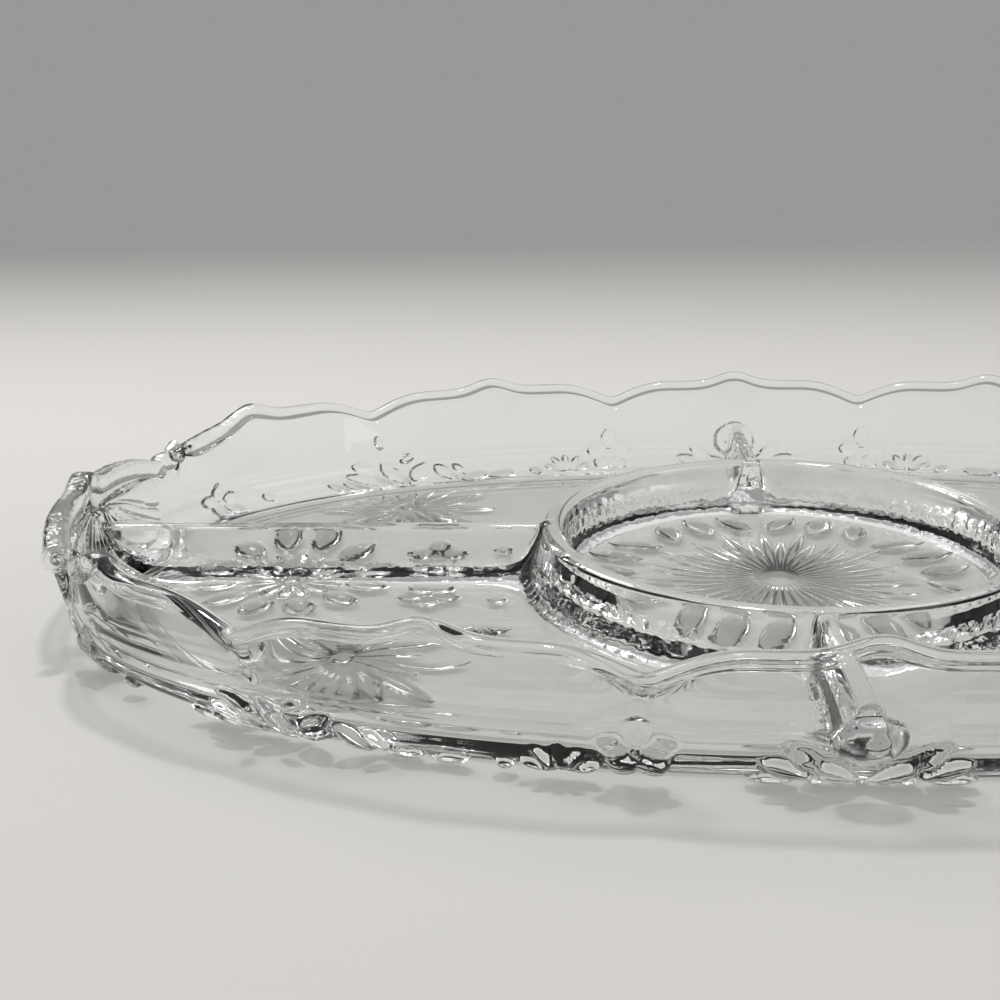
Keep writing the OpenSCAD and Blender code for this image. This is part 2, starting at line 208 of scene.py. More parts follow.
def soft_max(a: np.ndarray, b: np.ndarray, blend: np.ndarray) -> np.ndarray:
    """Greater of two heights, with a fillet where they cross.

    Args:
        a: First height.
        b: Second height.
        blend: About the size of the fillet.

    Returns:
        The height.
    """
    safe = np.maximum(blend, 1e-6)
    h = np.maximum(safe - np.abs(a - b), 0.0) / safe
    return np.maximum(a, b) + h * h * safe / 4


@dataclass
class Oval:
    """Squarish oval of the tray and the run along its rim.

    The run starts in the middle of the back and goes by way of the left end.

    Attributes:
        sizes: Sizes of the tray.
        steps: Count of the marks over a quarter of the rim.
        quarter: Length of a quarter of the rim.
        runs: Run of each mark.
        turns: Turn of the oval at each mark.
    """

    sizes: TraySizes
    steps: int = 120
    quarter: float = field(init=False)
    runs: np.ndarray = field(init=False)
    turns: np.ndarray = field(init=False)

    def __post_init__(self) -> None:
        """Measure a quarter of the rim."""
        self.turns = 90.0 - 90.0 * np.arange(self.steps + 1) / self.steps
        x, y = self.at(self.sizes.rim_a, self.sizes.rim_b, self.turns)
        self.runs = np.concatenate([[0.0], np.cumsum(np.hypot(np.diff(x), np.diff(y)))])
        self.quarter = float(self.runs[-1])

    def at(self, a: np.ndarray, b: np.ndarray, turn: np.ndarray) -> tuple[np.ndarray, np.ndarray]:
        """Point of an oval.

        Args:
            a: Half length.
            b: Half width.
            turn: Turn of the oval in degrees.

        Returns:
            The x and y values.
        """
        c, s = np.cos(np.radians(turn)), np.sin(np.radians(turn))
        power = 2 / self.sizes.squareness
        return a * np.sign(c) * np.abs(c) ** power, b * np.sign(s) * np.abs(s) ** power

    def turn_of(self, u: np.ndarray) -> np.ndarray:
        """Turn of the oval at runs along the rim.

        Args:
            u: Runs.

        Returns:
            The turns in degrees.
        """
        v = np.mod(u, 4 * self.quarter)
        q = np.minimum(np.floor(v / self.quarter), 3)
        r = v - q * self.quarter
        near = np.interp(r, self.runs, self.turns)
        far = np.interp(self.quarter - r, self.runs, self.turns)
        return np.select([q == 0, q == 1, q == 2], [180 - near, 180 + far, 360 - near], far)

    def from_middle(self, u: np.ndarray) -> np.ndarray:
        """Run from the middle of the nearest long side."""
        return np.abs(np.mod(u + self.quarter, 2 * self.quarter) - self.quarter)

    def run_at(self, x: float, way: int) -> float:
        """Run of a place on the wall's foot.

        Args:
            x: Place along the tray.
            way: 1 at the back and -1 at the front.

        Returns:
            The run.
        """
        a = self.sizes.base_a + (self.sizes.rim_a - self.sizes.base_a) / 2
        turn = math.degrees(math.acos((abs(x) / a) ** (self.sizes.squareness / 2)))
        run = float(np.interp(turn, self.turns[::-1], self.runs[::-1]))
        return -math.copysign(run, x) if way > 0 else 2 * self.quarter + math.copysign(run, x)


@dataclass
class BeadShape:
    """Outline of the bead on top of the wall, at each run.

    Attributes:
        half_w: Half width.
        half_h: Half height.
        top: Height of the top.
        power: Exponent of the outline, where 2 is an ellipse and more is squarer.
        tuck: Distance that the bead and the wall's top keep inside their line.
        level: Height of the bead's foot, evened out over a scallop.
    """

    half_w: np.ndarray
    half_h: np.ndarray
    top: np.ndarray
    power: np.ndarray
    tuck: np.ndarray
    level: np.ndarray | None = None

    def lean(self, half_wall: float) -> np.ndarray:
        """Share of the bead's width that the wall takes, as the outline's formula needs it."""
        return np.minimum(half_wall / self.half_w, 1) ** (self.power / 2)

    def start(self, half_wall: float) -> np.ndarray:
        """Height at which the bead leaves the wall.

        Args:
            half_wall: Half thickness of the wall.

        Returns:
            The height at each run.
        """
        lean = self.lean(half_wall)
        rise = np.sqrt(np.clip(1 - lean * lean, 0, 1)) ** (2 / self.power)
        return self.top - self.half_h * (1 + rise)


@dataclass
class RimLine:
    """Scalloped line of the rim, with the arch of each handle and the knob of each scroll.

    Attributes:
        oval: Oval of the tray.
        post_half: Half length of the short stretch that carries a scroll.
        last_peak_share: Place of the last peak, as a share of the run up to the scroll.
        last_peak_h: Height of that peak over the slope behind it.
        slope_drop: Depth of the slope's end under the handle's arch.
        flat_share: Share of a scallop's height in its flat bracket. The rest is its peak.
        notch_end: Part of half a scallop over which it rises out of the notch.
        peak_w: Width of a peak, as a share of half a scallop.
        bead_w: Half width of the rim's bead in the middle of a long side.
        bead_h: Half height of that bead.
        most_swell: Growth of the bead at the scrolls.
        swell_from: Place from which it grows, in scallops from the middle of a side.
        side_power: Exponents of the bead's outline in the middle of a side and where it is swollen.
        square_from: Growth from which the second of them sets in.
        square_over: Growth over which it does.
        lip_power: Exponent of the lip's outline.
        knob_power: Exponent of the outline behind a coil.
        knob_share: Size of the glass behind a coil, as a share of the coil.
        knob_run: Its length, as a share of the stretch that carries the scroll.
        coil_fade: Length over which the rim's bead grows from behind a coil.
        coil_dip: Depth of the bead under its own line behind a coil, at the front and at the back.
        tuck_most: Distance that the rim keeps inside its line behind a coil, at the front and
            at the back.
        tuck_rise: Length over which the rim swings in behind a coil.
        tuck_run: Length over which it comes back to its line.
        handle_run: Run from the middle of a long side to a scroll.
        last_peak: Run to the last peak.
        period: Length of a scallop.
    """

    oval: Oval
    post_half: float = 3.2
    last_peak_share: float = 0.83
    last_peak_h: float = 2.6
    slope_drop: float = 5.4
    flat_share: float = 0.62
    notch_end: float = 0.4
    peak_w: float = 0.176
    bead_w: float = 1.75
    bead_h: float = 1.6
    most_swell: float = 0.55
    swell_from: float = 1.5
    side_power: tuple[float, float] = (2.6, 3.2)
    square_from: float = 1.1
    square_over: float = 0.4
    lip_power: float = 3.4
    knob_power: float = 2.4
    knob_share: float = 0.8
    knob_run: float = 1.05
    coil_fade: float = 9.0
    coil_dip: tuple[float, float] = (2.8, 0.4)
    tuck_most: tuple[float, float] = (4.0, 1.0)
    tuck_rise: float = 4.0
    tuck_run: float = 26.0
    handle_run: float = field(init=False)
    last_peak: float = field(init=False)
    period: float = field(init=False)

    def __post_init__(self) -> None:
        """Place the scrolls and the scallops."""
        s = self.oval.sizes
        turn = math.degrees(math.asin((s.handle_w / 2 / s.rim_b) ** (s.squareness / 2)))
        self.handle_run = float(np.interp(turn, self.oval.turns[::-1], self.oval.runs[::-1]))
        self.last_peak = self.last_peak_share * self.handle_run
        self.period = self.last_peak / 2

    def scallop_z(self, d: np.ndarray) -> np.ndarray:
        """Height of the scalloped rim.

        Args:
            d: Runs from the middle of a long side.

        Returns:
            The heights.
        """
        s = self.oval.sizes
        p = np.abs(np.mod(2 * d / self.period, 2) - 1)
        notch = np.hypot(p, s.notch_round) - s.notch_round
        flat = 1 - (1 - np.minimum(notch / self.notch_end, 1)) ** 2
        peak = np.exp(-(((1 - p) / self.peak_w) ** 2))
        return s.rim_h - s.notch_dip * (1 - mix(peak, flat, self.flat_share))

    def slope_z(self, d: np.ndarray) -> np.ndarray:
        """Height of the rim between the last scallop and a scroll.

        Args:
            d: Runs from the middle of a long side.

        Returns:
            The heights.
        """
        s = self.oval.sizes
        q = (d - self.last_peak) / (self.handle_run - self.last_peak)
        peak = np.exp(-(((d - self.last_peak) / (self.peak_w / 2 * self.period)) ** 2))
        slope = mix(s.rim_h - self.last_peak_h, s.arch_h - self.slope_drop, np.clip(q, 0, 1))
        return slope + self.last_peak_h * peak

    def arch_z(self, u: np.ndarray) -> np.ndarray:
        """Height of the handle's lip, with its crown and shoulders.

        Args:
            u: Runs along the rim.

        Returns:
            The heights.
        """
        s = self.oval.sizes
        _, y = self.oval.at(s.rim_a, s.rim_b, self.oval.turn_of(u))
        crown = s.crown_rise * (1 - np.exp(-((y / s.crown_spread) ** 2)))
        return s.arch_h - crown - s.shoulder_drop * (2 * y / s.handle_w) ** 4

    def swell(self, u: np.ndarray) -> np.ndarray:
        """Growth of the rim's bead towards the scrolls.

        Args:
            u: Runs along the rim.

        Returns:
            The growth, which is 1 in the middle of a side.
        """
        d = self.oval.from_middle(u)
        start = self.swell_from * self.period
        return 1 + self.most_swell * smooth((d - start) / (self.handle_run - start))

    def bead(self, u: np.ndarray) -> BeadShape:
        """Shape of the rounded bead on top of the wall.

        Args:
            u: Runs along the rim.

        Returns:
            The bead's shape at each run.
        """
        s = self.oval.sizes
        d = self.oval.from_middle(u)
        grow = self.swell(u)
        on_end = smooth((d - self.handle_run) / self.post_half / 2 + 0.5)
        behind_coil = smooth((self.handle_run - self.post_half - d) / self.coil_fade)
        quarter = self.oval.quarter
        at_front = np.abs(np.mod(u, 4 * quarter) - 2 * quarter) < quarter
        past = self.handle_run - d
        dip = np.where(at_front, *self.coil_dip) * (1 - smooth(past / (2 * self.coil_fade)))
        side_top = np.where(d <= self.last_peak, self.scallop_z(d), self.slope_z(d)) - dip
        tuck = np.where(at_front, *self.tuck_most) * smooth(past / self.tuck_rise)
        tuck = tuck * (1 - smooth((past - self.tuck_rise) / (self.tuck_run - self.tuck_rise)))
        side_w = mix(s.wall_t / 2, self.bead_w * grow, behind_coil)
        side_h = mix(s.wall_t / 2, self.bead_h * grow, behind_coil)
        knob = np.sqrt(np.clip(1 - (past / (self.knob_run * self.post_half)) ** 2, 0, 1))
        knob_r = s.scroll_d / 2 * self.knob_share
        side_power = mix(*self.side_power, smooth((grow - self.square_from) / self.square_over))
        shape = BeadShape(
            half_w=np.maximum(mix(side_w, s.lip_w / 2, on_end), knob_r * knob),
            half_h=np.maximum(mix(side_h, s.lip_h / 2, on_end), knob_r * knob),
            top=np.maximum(mix(side_top, self.arch_z(u), on_end), s.scroll_z + knob_r * knob),
            power=mix(mix(side_power, self.lip_power, on_end), self.knob_power, knob),
            tuck=tuck,
        )
        shape.level = self.evened(u, shape.start(s.wall_t / 2))
        return shape

    def evened(self, u: np.ndarray, values: np.ndarray) -> np.ndarray:
        """Moving average of a value over one scallop of the rim.

        Args:
            u: Runs along the rim.
            values: The value at each run.

        Returns:
            The average at each run.
        """
        lap = 4 * self.oval.quarter
        order = np.argsort(u)
        marks = np.arange(0.0, lap, 1.0)
        even = np.interp(marks, u[order], values[order], period=lap)
        window = int(self.period)
        wrapped = np.concatenate([even[-window:], even, even[:window]])
        mean = np.convolve(wrapped, np.ones(window) / window, mode="same")[window:-window]
        return np.interp(u, marks, mean, period=lap)


@dataclass(frozen=True)
class Petal:
    """Pointed petal with a rounded back, on the floor's underside or outside the wall.

    Attributes:
        p: Sideways place of the petal's middle in its motif.
        q: Place of its middle towards the rim.
        aim: Direction of the petal in degrees.
        length: Length.
        half: Half width.
        high: Height out of the glass.
        blunt: Exponent of the outline, where a small value gives a rounder petal.
    """

    p: float
    q: float
    aim: float
    length: float
    half: float
    high: float
    blunt: float = 0.75

    def height(self, p: np.ndarray, q: np.ndarray) -> np.ndarray:
        """Height of the petal.

        Args:
            p: Sideways places in the motif.
            q: Places towards the rim.

        Returns:
            Height at each place.
        """
        c, s = math.cos(math.radians(self.aim)), math.sin(math.radians(self.aim))
        along = ((p - self.p) * c + (q - self.q) * s) / (self.length / 2)
        across = (-(p - self.p) * s + (q - self.q) * c) / self.half
        width = np.clip(1 - along * along, 0, 1) ** self.blunt
        inside = np.clip(1 - (across / np.maximum(width, 1e-6)) ** 2, 0, 1)
        return self.high * np.sqrt(inside) * width ** 0.5

    @property
    def reach(self) -> float:
        """Radius that holds the petal."""
        return max(self.length / 2, self.half) * MARGIN


@dataclass(frozen=True)
class Bud:
    """Round bead of glass, on the floor's underside or outside the wall.

    Attributes:
        p: Sideways place of the bud's middle in its motif.
        q: Place of its middle towards the rim.
        radius: Radius.
        high: Height out of the glass.
    """

    p: float
    q: float
    radius: float
    high: float

    def height(self, p: np.ndarray, q: np.ndarray) -> np.ndarray:
        """Height of the bud.

        Args:
            p: Sideways places in the motif.
            q: Places towards the rim.

        Returns:
            Height at each place.
        """
        r = np.hypot(p - self.p, q - self.q) / self.radius
        return self.high * np.sqrt(np.clip(1 - r * r, 0, 1))

    @property
    def reach(self) -> float:
        """Radius that holds the bud."""
        return self.radius * MARGIN


@dataclass
class Motif:
    """One motif of the relief, which collects its petals and buds.

    Attributes:
        node: CAD node that the motif belongs to.
        wall: True for a motif on the outside of the wall.
        origin: Place of the motif: x and y on the floor, or the run on the wall.
        way: 1 on the back half and -1 on the front half.
        high: Height of a petal out of the glass.
        marks: Petals and buds.
    """

    node: str
    wall: bool
    origin: tuple[float, ...]
    way: int
    high: float
    marks: list[Petal | Bud] = field(default_factory=list)

    def petal(
        self, p: float, q: float, aim: float, length: float, half: float, share: float = 1.0
    ) -> None:
        """Add a petal.

        Args:
            p: Sideways place of its middle.
            q: Place of its middle towards the rim.
            aim: Direction in degrees.
            length: Length.
            half: Half width.
            share: Height as a share of the motif's.
        """
        self.marks.append(Petal(p, q, aim, length, half, self.high * share))

    def ray(self, angle: float, r0: float, r1: float, half: float, share: float = 1.0) -> None:
        """Add a petal that points out of the motif's middle.

        Args:
            angle: Direction in degrees.
            r0: Radius at which it starts.
            r1: Radius at which it ends.
            half: Half width.
            share: Height as a share of the motif's.
        """
        r = (r0 + r1) / 2
        a = math.radians(angle)
        self.petal(r * math.cos(a), r * math.sin(a), angle, r1 - r0, half, share)

    def bud(self, p: float, q: float, radius: float, share: float = 1.0) -> None:
        """Add a round bud at a place of the motif."""
        self.marks.append(Bud(p, q, radius, self.high * share))


@dataclass
class ReliefDesign:
    """Flowers, leaves, shells and star pressed into the outside of the tray.

    Attributes:
        oval: Oval of the tray.
        daisy_x: Sideways place of the daisies under the long dividers.
        daisy_hub: Radius of their middle.
        daisy_rings: Their petals: count, first direction in degrees, inner and outer radius
            and half width.
        spray_x: Sideways place of the large daisies.
        spray_y: Distance of the large daisies from the long middle line.
        spray_hub: Radius of their middle.
        spray_rays: Count of their petals.
        spray_start: Radius at which the petals start.
        spray_reach: Radii at which they end, in turn.
        spray_half: Half width of a petal.
        foot_inset: Distance that the floor's relief keeps inside the foot's outer edge.
        least_ray: Length below which no ray is cut.
        ray_cut: Step by which a ray is cut until it is clear of the foot.
        bunch: Loose petals that climb the wall: place across and up, direction in degrees,
            length and half width.
        bunch_grow: Growth of their length and of their width.
        shell_x: Sideways place of the shells, just beside the middle.
        shell_domes: Domes of a shell: place across and up, radius and height as a share.
        shell_leaves: Leaves on one side of it: place across and up, lean away from upright in
            degrees, length and half width.
        shell_berries: Places of its berries across.
        shell_berry: Height of their middle and their radius.
        blossom_petals: Count of a blossom's petals.
        blossom_petal: Place, length and half width of a petal, as shares of the blossom's radius.
        blossom_bud: Radius of its bud, as a share too, and height as a share of the motif's.
        sprig_aims: Directions of a sprig's leaves in degrees.
        sprig_leaf: Place, length and half width of a leaf, as shares of the sprig's length, and
            height as a share of the motif's.
        star_start: Radius at which the star's rays start.
        star_reach: Radii at which they end, in turn.
        star_half: Half width of a ray.
        wreath: Count of the pairs of leaves in the wreath.
        wreath_r: Radius on which the leaves lie.
        wreath_turn: Turn of a leaf's place from the middle of its pair, in degrees.
        wreath_lean: Turn of the leaf itself.
        wreath_leaf: Length and half width of a leaf.
        wreath_bud: Inner and outer radius and half width of the bud between two pairs.
    """

    oval: Oval
    daisy_x: float = 116.0
    daisy_hub: float = 1.8
    daisy_rings: tuple[tuple[float, ...], ...] = ((16, 0, 2.6, 13.6, 1.5), (12, 15, 13.8, 24, 3.2))
    spray_x: float = 95.0
    spray_y: float = 55.0
    spray_hub: float = 1.7
    spray_rays: int = 20
    spray_start: float = 2.4
    spray_reach: tuple[float, float] = (25, 17)
    spray_half: float = 1.9
    foot_inset: float = 5.5
    least_ray: float = 4.0
    ray_cut: float = 0.5
    bunch: tuple[tuple[float, ...], ...] = (
        (-6, 7, 119, 11.5, 2.3), (2.3, 7, 45, 10.5, 2.3), (9.8, 5.8, 122, 8.5, 2.2),
        (17.5, 2.8, 20, 10, 1.7), (-14.3, 10.2, 157, 8.5, 1.8), (-14, 5.6, 156, 13.5, 2.2),
        (-19.5, 3.6, 136, 7, 1.7), (26.4, 3.2, 12, 8.6, 1.5), (14.6, 6.8, 127, 5.5, 1.3),
        (-24.6, 4.1, 134, 5.8, 1.3), (-1, 12.4, 28, 5, 1.2), (-9.3, 16.7, 108, 4, 1.2),
    )
    bunch_grow: tuple[float, float] = (1.05, 1.1)
    shell_x: float = 0.001
    shell_domes: tuple[tuple[float, ...], ...] = ((0, 14.2, 6, 1.7), (-0.8, 15.2, 2.6, 2.1))
    shell_leaves: tuple[tuple[float, ...], ...] = (
        (5, 5.6, 58, 9.8, 2.3), (10.4, 10.4, 45, 8.4, 2.3), (13.2, 6.8, 66, 9.4, 2.2),
        (15.6, 2.9, 88, 9.0, 2.1),
    )
    shell_berries: tuple[float, ...] = (-8, -4, 0, 4, 8)
    shell_berry: tuple[float, float] = (2.3, 1.9)
    blossom_petals: int = 5
    blossom_petal: tuple[float, float, float] = (0.58, 0.88, 0.38)
    blossom_bud: tuple[float, float] = (0.16, 0.9)
    sprig_aims: tuple[int, ...] = (30, 60, 90, 120, 150)
    sprig_leaf: tuple[float, float, float, float] = (0.6, 0.9, 0.15, 0.9)
    star_start: float = 4.4
    star_reach: tuple[float, ...] = (34, 27, 31, 27)
    star_half: float = 1.5
    wreath: int = 8
    wreath_r: float = 40.5
    wreath_turn: float = 9.0
    wreath_lean: float = 32.0
    wreath_leaf: tuple[float, float] = (13.4, 3.0)
    wreath_bud: tuple[float, float, float] = (34.4, 48, 3.4)

    def floor(self, node: str, x: float, y: float, way: int) -> Motif:
        """Empty motif on the floor's underside."""
        return Motif(node, False, (x, y), way, self.oval.sizes.relief_h)

    def wall(self, node: str, x: float, way: int) -> Motif:
        """Empty motif on the outside of the wall."""
        return Motif(node, True, (self.oval.run_at(x, way),), way, self.oval.sizes.relief_h)

    def daisy(self, node: str, x: float) -> list[Motif]:
        """Daisy under the end of a long divider.

        Args:
            node: CAD node of the daisy.
            x: Its place along the tray.

        Returns:
            The motif.
        """
        m = self.floor(node, x, 0.0, 1)
        m.bud(0, 0, self.daisy_hub)
        for count, first, r0, r1, half in self.daisy_rings:
            for k in range(count):
                m.ray(360 / count * k + first, r0, r1, half)
        return [m]

    def free_reach(self, x: float, y: float, way: int, angle: float, most: float) -> float:
        """Longest that a ray on the floor may be before it meets the foot.

        Args:
            x: Place of the motif's middle along the tray.
            y: Its place across the tray.
            way: 1 on the back half and -1 on the front half.
            angle: Direction of the ray in degrees.
            most: Length that is wanted.

        Returns:
            The length that is free, at most the wanted one.
        """
        s, a = self.oval.sizes, math.radians(angle)
        r = most
        while r > self.least_ray:
            across = abs(x + way * r * math.cos(a)) / (s.base_a - self.foot_inset)
            deep = abs(y + way * r * math.sin(a)) / (s.base_b - self.foot_inset)
            if across ** s.squareness + deep ** s.squareness < 1:
                break
            r -= self.ray_cut
        return r

    def spray(self, node: str, x: float, way: int) -> list[Motif]:
        """Large daisy on the floor and a loose bunch of petals that climbs the wall beyond it.

        Args:
            node: CAD node of the spray.
            x: Place along the tray.
            way: 1 at the back and -1 at the front.

        Returns:
            The motif on the floor and the one on the wall.
        """
        flat = self.floor(node, x, way * self.spray_y, way)
        steep = self.wall(node, x, way)
        flat.bud(0, 0, self.spray_hub)
        for k in range(self.spray_rays):
            angle = 360 * k / self.spray_rays
            most = self.free_reach(x, way * self.spray_y, way, angle, self.spray_reach[k % 2])
            flat.ray(angle, self.spray_start, most, self.spray_half)
        side = 1 if x * way < 0 else -1
        longer, wider = self.bunch_grow
        for p, q, aim, length, half in self.bunch:
            steep.petal(side * p, q, 90 + side * (aim - 90), length * longer, half * wider)
        return [flat, steep]

    def shell(self, node: str, way: int) -> list[Motif]:
        """Domed shell with a curl, leaves and berries at the end of a short divider.

        Args:
            node: CAD node of the shell.
            way: 1 at the back and -1 at the front.

        Returns:
            The motif.
        """
        m = self.wall(node, self.shell_x, way)
        for dome in self.shell_domes:
            m.bud(*dome)
        for side in (-1, 1):
            for p, q, lean, length, half in self.shell_leaves:
                m.petal(side * p, q, 90 - side * lean, length, half)
        for p in self.shell_berries:
            m.bud(p, *self.shell_berry)
        return [m]

    def blossom(self, m: Motif, q: float, r: float) -> Motif:
        """Round blossom with a bud in its middle.

        Args:
            m: Motif that takes it.
            q: Place of its middle towards the rim.
            r: Radius.

        Returns:
            The motif.
        """
        out, length, half = (share * r for share in self.blossom_petal)
        for k in range(self.blossom_petals):
            aim = 360 / self.blossom_petals * k + 90
            a = math.radians(aim)
            m.petal(out * math.cos(a), q + out * math.sin(a), aim, length, half)
        bud, high = self.blossom_bud
        m.bud(0, q, bud * r, high)
        return m

    def sprig(self, m: Motif, q: float, r: float) -> Motif:
        """Fan of slim leaves.

        Args:
            m: Motif that takes it.
            q: Place of its foot towards the rim.
            r: Length over all.

        Returns:
            The motif.
        """
        out, length, half, high = self.sprig_leaf
        for aim in self.sprig_aims:
            a = math.radians(aim)
            p, up = out * r * math.cos(a), out * r * math.sin(a)
            m.petal(p, q + up, aim, length * r, half * r, high)
        return m

    def berry(self, m: Motif, q: float, r: float) -> Motif:
        """Single berry of radius r at height q."""
        m.bud(0, q, r)
        return m

    def scattered(self) -> list[Motif]:
        """Small blossoms, leaf sprigs and berries between the large flowers.

        Returns:
            The motifs.
        """
        found = []
        for side in (-1, 1):
            for way in (-1, 1):
                found += [
                    self.blossom(self.floor("small_blossoms", side * 82, way * 11, way), 0, 7),
                    self.blossom(self.wall("small_blossoms", side * 37, way), 9.8, 7),
                    self.blossom(self.wall("small_blossoms", side * 144, way), 7.4, 6.4),
                    self.sprig(self.wall("leaf_sprigs", side * 50, way), 2.4, 8),
                    self.sprig(self.floor("leaf_sprigs", side * 69, way * 28, way), 0, 7),
                    self.berry(self.wall("leaf_sprigs", side * 60, way), 4.0, 1.7),
                    self.berry(self.wall("leaf_sprigs", side * 134, way), 5.4, 1.7),
                    self.berry(self.floor("leaf_sprigs", side * 66, way * 14, way), 0.0, 1.8),
                ]
        return found

    def star(self) -> list[Motif]:
        """Star of rays under the well, inside a wreath of leaves.

        Returns:
            The motif.
        """
        m = self.floor("well_star", 0.0, 0.0, 1)
        rays = self.oval.sizes.star_rays
        for k in range(rays):
            reach = self.star_reach[k % len(self.star_reach)]
            m.ray(360 * k / rays, self.star_start, reach, self.star_half)
        step = 360 / self.wreath
        for k in range(self.wreath):
            for side in (-1, 1):
                at = math.radians(step * k + self.wreath_turn * side)
                p, q = self.wreath_r * math.cos(at), self.wreath_r * math.sin(at)
                m.petal(p, q, step * k + self.wreath_lean * side, *self.wreath_leaf)
            m.ray(step * (k + 0.5), *self.wreath_bud)
        return [m]

    def motifs(self) -> list[Motif]:
        """Draw all motifs of the tray.

        Returns:
            The motifs, in the order in which they are pressed.
        """
        found = self.star()
        found += self.daisy("left_daisy", -self.daisy_x) + self.daisy("right_daisy", self.daisy_x)
        for side, end in ((-1, "left"), (1, "right")):
            for way, face in ((-1, "front"), (1, "back")):
                found += self.spray(f"{face}_{end}_spray", side * self.spray_x, way)
        found += self.shell("front_shell", -1) + self.shell("back_shell", 1)
        return found + self.scattered()


@dataclass(frozen=True)
class HammerMarks:
    """Small uneven dents of the mould, made of waves that run in seeded directions.

    Attributes:
        foot_depth: Usual depth at the feet of the ring and the dividers, in millimetres. The
            deepest dents have three to four times as much.
        bead_depth: Usual depth on the lips and the swollen rim.
        lengths: Shortest and longest wave.
        waves: Count of waves.
        seed: Seed of their directions.
        foot_top: Height up to which a foot is dented, in fillets.
        foot_fade: Heights over which its dents set in and fade, in fillets.
        foot_clear: Height over the floor below which nothing is dented, in millimetres.
        foot_stipple: Stipple of the feet. That of the beads is 1.
        swollen_from: Growth of the rim's bead at which its dents begin.
        swollen_over: Growth over which they set in.
        least: Depth under which a dent is left out.
    """

    foot_depth: float = 0.07
    bead_depth: float = 0.05
    lengths: tuple[float, float] = (1.6, 4.5)
    waves: int = 18
    seed: int = 7
    foot_top: float = 1.5
    foot_fade: tuple[float, float] = (0.15, 0.3)
    foot_clear: float = 0.05
    foot_stipple: float = 0.7
    swollen_from: float = 1.15
    swollen_over: float = 0.25
    least: float = 0.002

    def dents(self, points: np.ndarray) -> np.ndarray:
        """Height of the dents.

        Args:
            points: Points in millimetres.

        Returns:
            A value for each point, with a standard deviation of about 1.
        """
        rng = np.random.default_rng(self.seed)
        way = rng.normal(size=(self.waves, 3))
        way /= np.linalg.norm(way, axis=1, keepdims=True)
        length = rng.uniform(*self.lengths, size=(self.waves, 1))
        start = rng.uniform(0, 2 * np.pi, size=self.waves)
        waves = np.sin(points @ (2 * np.pi * way / length).T + start)
        return waves.sum(axis=1) * math.sqrt(2 / self.waves)


@dataclass(frozen=True)
class FanShape:
    """Fan of round fingers on both sides of a divider, from a hub under the handle's lip.

    Attributes:
        hub_off: Distance of the hub from the divider's middle, in millimetres.
        hub_up: Distance of the hub up the wall from the floor's edge.
        level_run: Millimetres up the wall for one step of the grid's own level.
        radius: Length of the fingers.
        first: Direction of the fan's upper edge, in degrees below the rim.
        last: Direction of its edge on the divider.
        high: Greatest height of a finger.
        steep: Greatest height of a finger as a share of its width.
        edge: Softness of the fan's edges, as a share of its sweep.
        clear: Half width of the divider's top, which stays plain.
        clear_fade: Width over which the fingers rise beside it.
        hub: Length over which the fingers rise from the hub.
        tip: Length over which a finger on the wall rounds off.
        tip_round: Roundness of its end, as a share of its length.
        long_tip: Length over which a finger on the divider fades out.
        divider_from: Share of the sweep from which a finger counts as one on the divider.
        divider_over: Share over which it comes to do so.
        margin: Distance past the fingers that is looked at.
    """

    hub_off: float = 0.8
    hub_up: float = 26.4
    level_run: float = 5.8
    radius: float = 31.0
    first: float = -5.0
    last: float = 92.0
    high: float = 2.1
    steep: float = 0.42
    edge: float = 0.01
    clear: float = 1.3
    clear_fade: float = 0.8
    hub: float = 5.0
    tip: float = 3.0
    tip_round: float = 0.1
    long_tip: float = 16.0
    divider_from: float = 0.7
    divider_over: float = 0.2
    margin: float = 3.0

    def height(self, off: np.ndarray, climb: np.ndarray, fingers: int) -> np.ndarray:
        """Height of the fan.

        Args:
            off: Distances from the divider's middle.
            climb: Distances up the wall from the floor's edge, below zero on the floor.
            fingers: Count of fingers on one side.

        Returns:
            Height over the plain wall.
        """
        across, down = off - self.hub_off, self.hub_up - climb
        reach = np.hypot(across, down)
        sweep = (np.degrees(np.arctan2(down, across)) - self.first) / (self.last - self.first)
        soft = 2 * self.edge
        inside = smooth((sweep + self.edge) / soft) * smooth((1 + self.edge - sweep) / soft)
        side = 2 * np.mod(sweep * fingers, 1) - 1
        ridge = np.sqrt(np.clip(1 - side ** 2, 0, 1))
        width = reach * math.radians(self.last - self.first) / fingers
        on_divider = smooth((sweep - self.divider_from) / self.divider_over)
        end = self.radius * (1 - self.tip_round * (1 - ridge))
        left = (end - reach) / mix(self.tip, self.long_tip, on_divider)
        tip = mix(np.sqrt(np.clip(left, 0, 1)), smooth(left), on_divider)
        plain_top = smooth((off - self.clear) / self.clear_fade)
        high = np.minimum(self.high, self.steep * width)
        return high * ridge * tip * inside * plain_top * smooth(reach / self.hub)


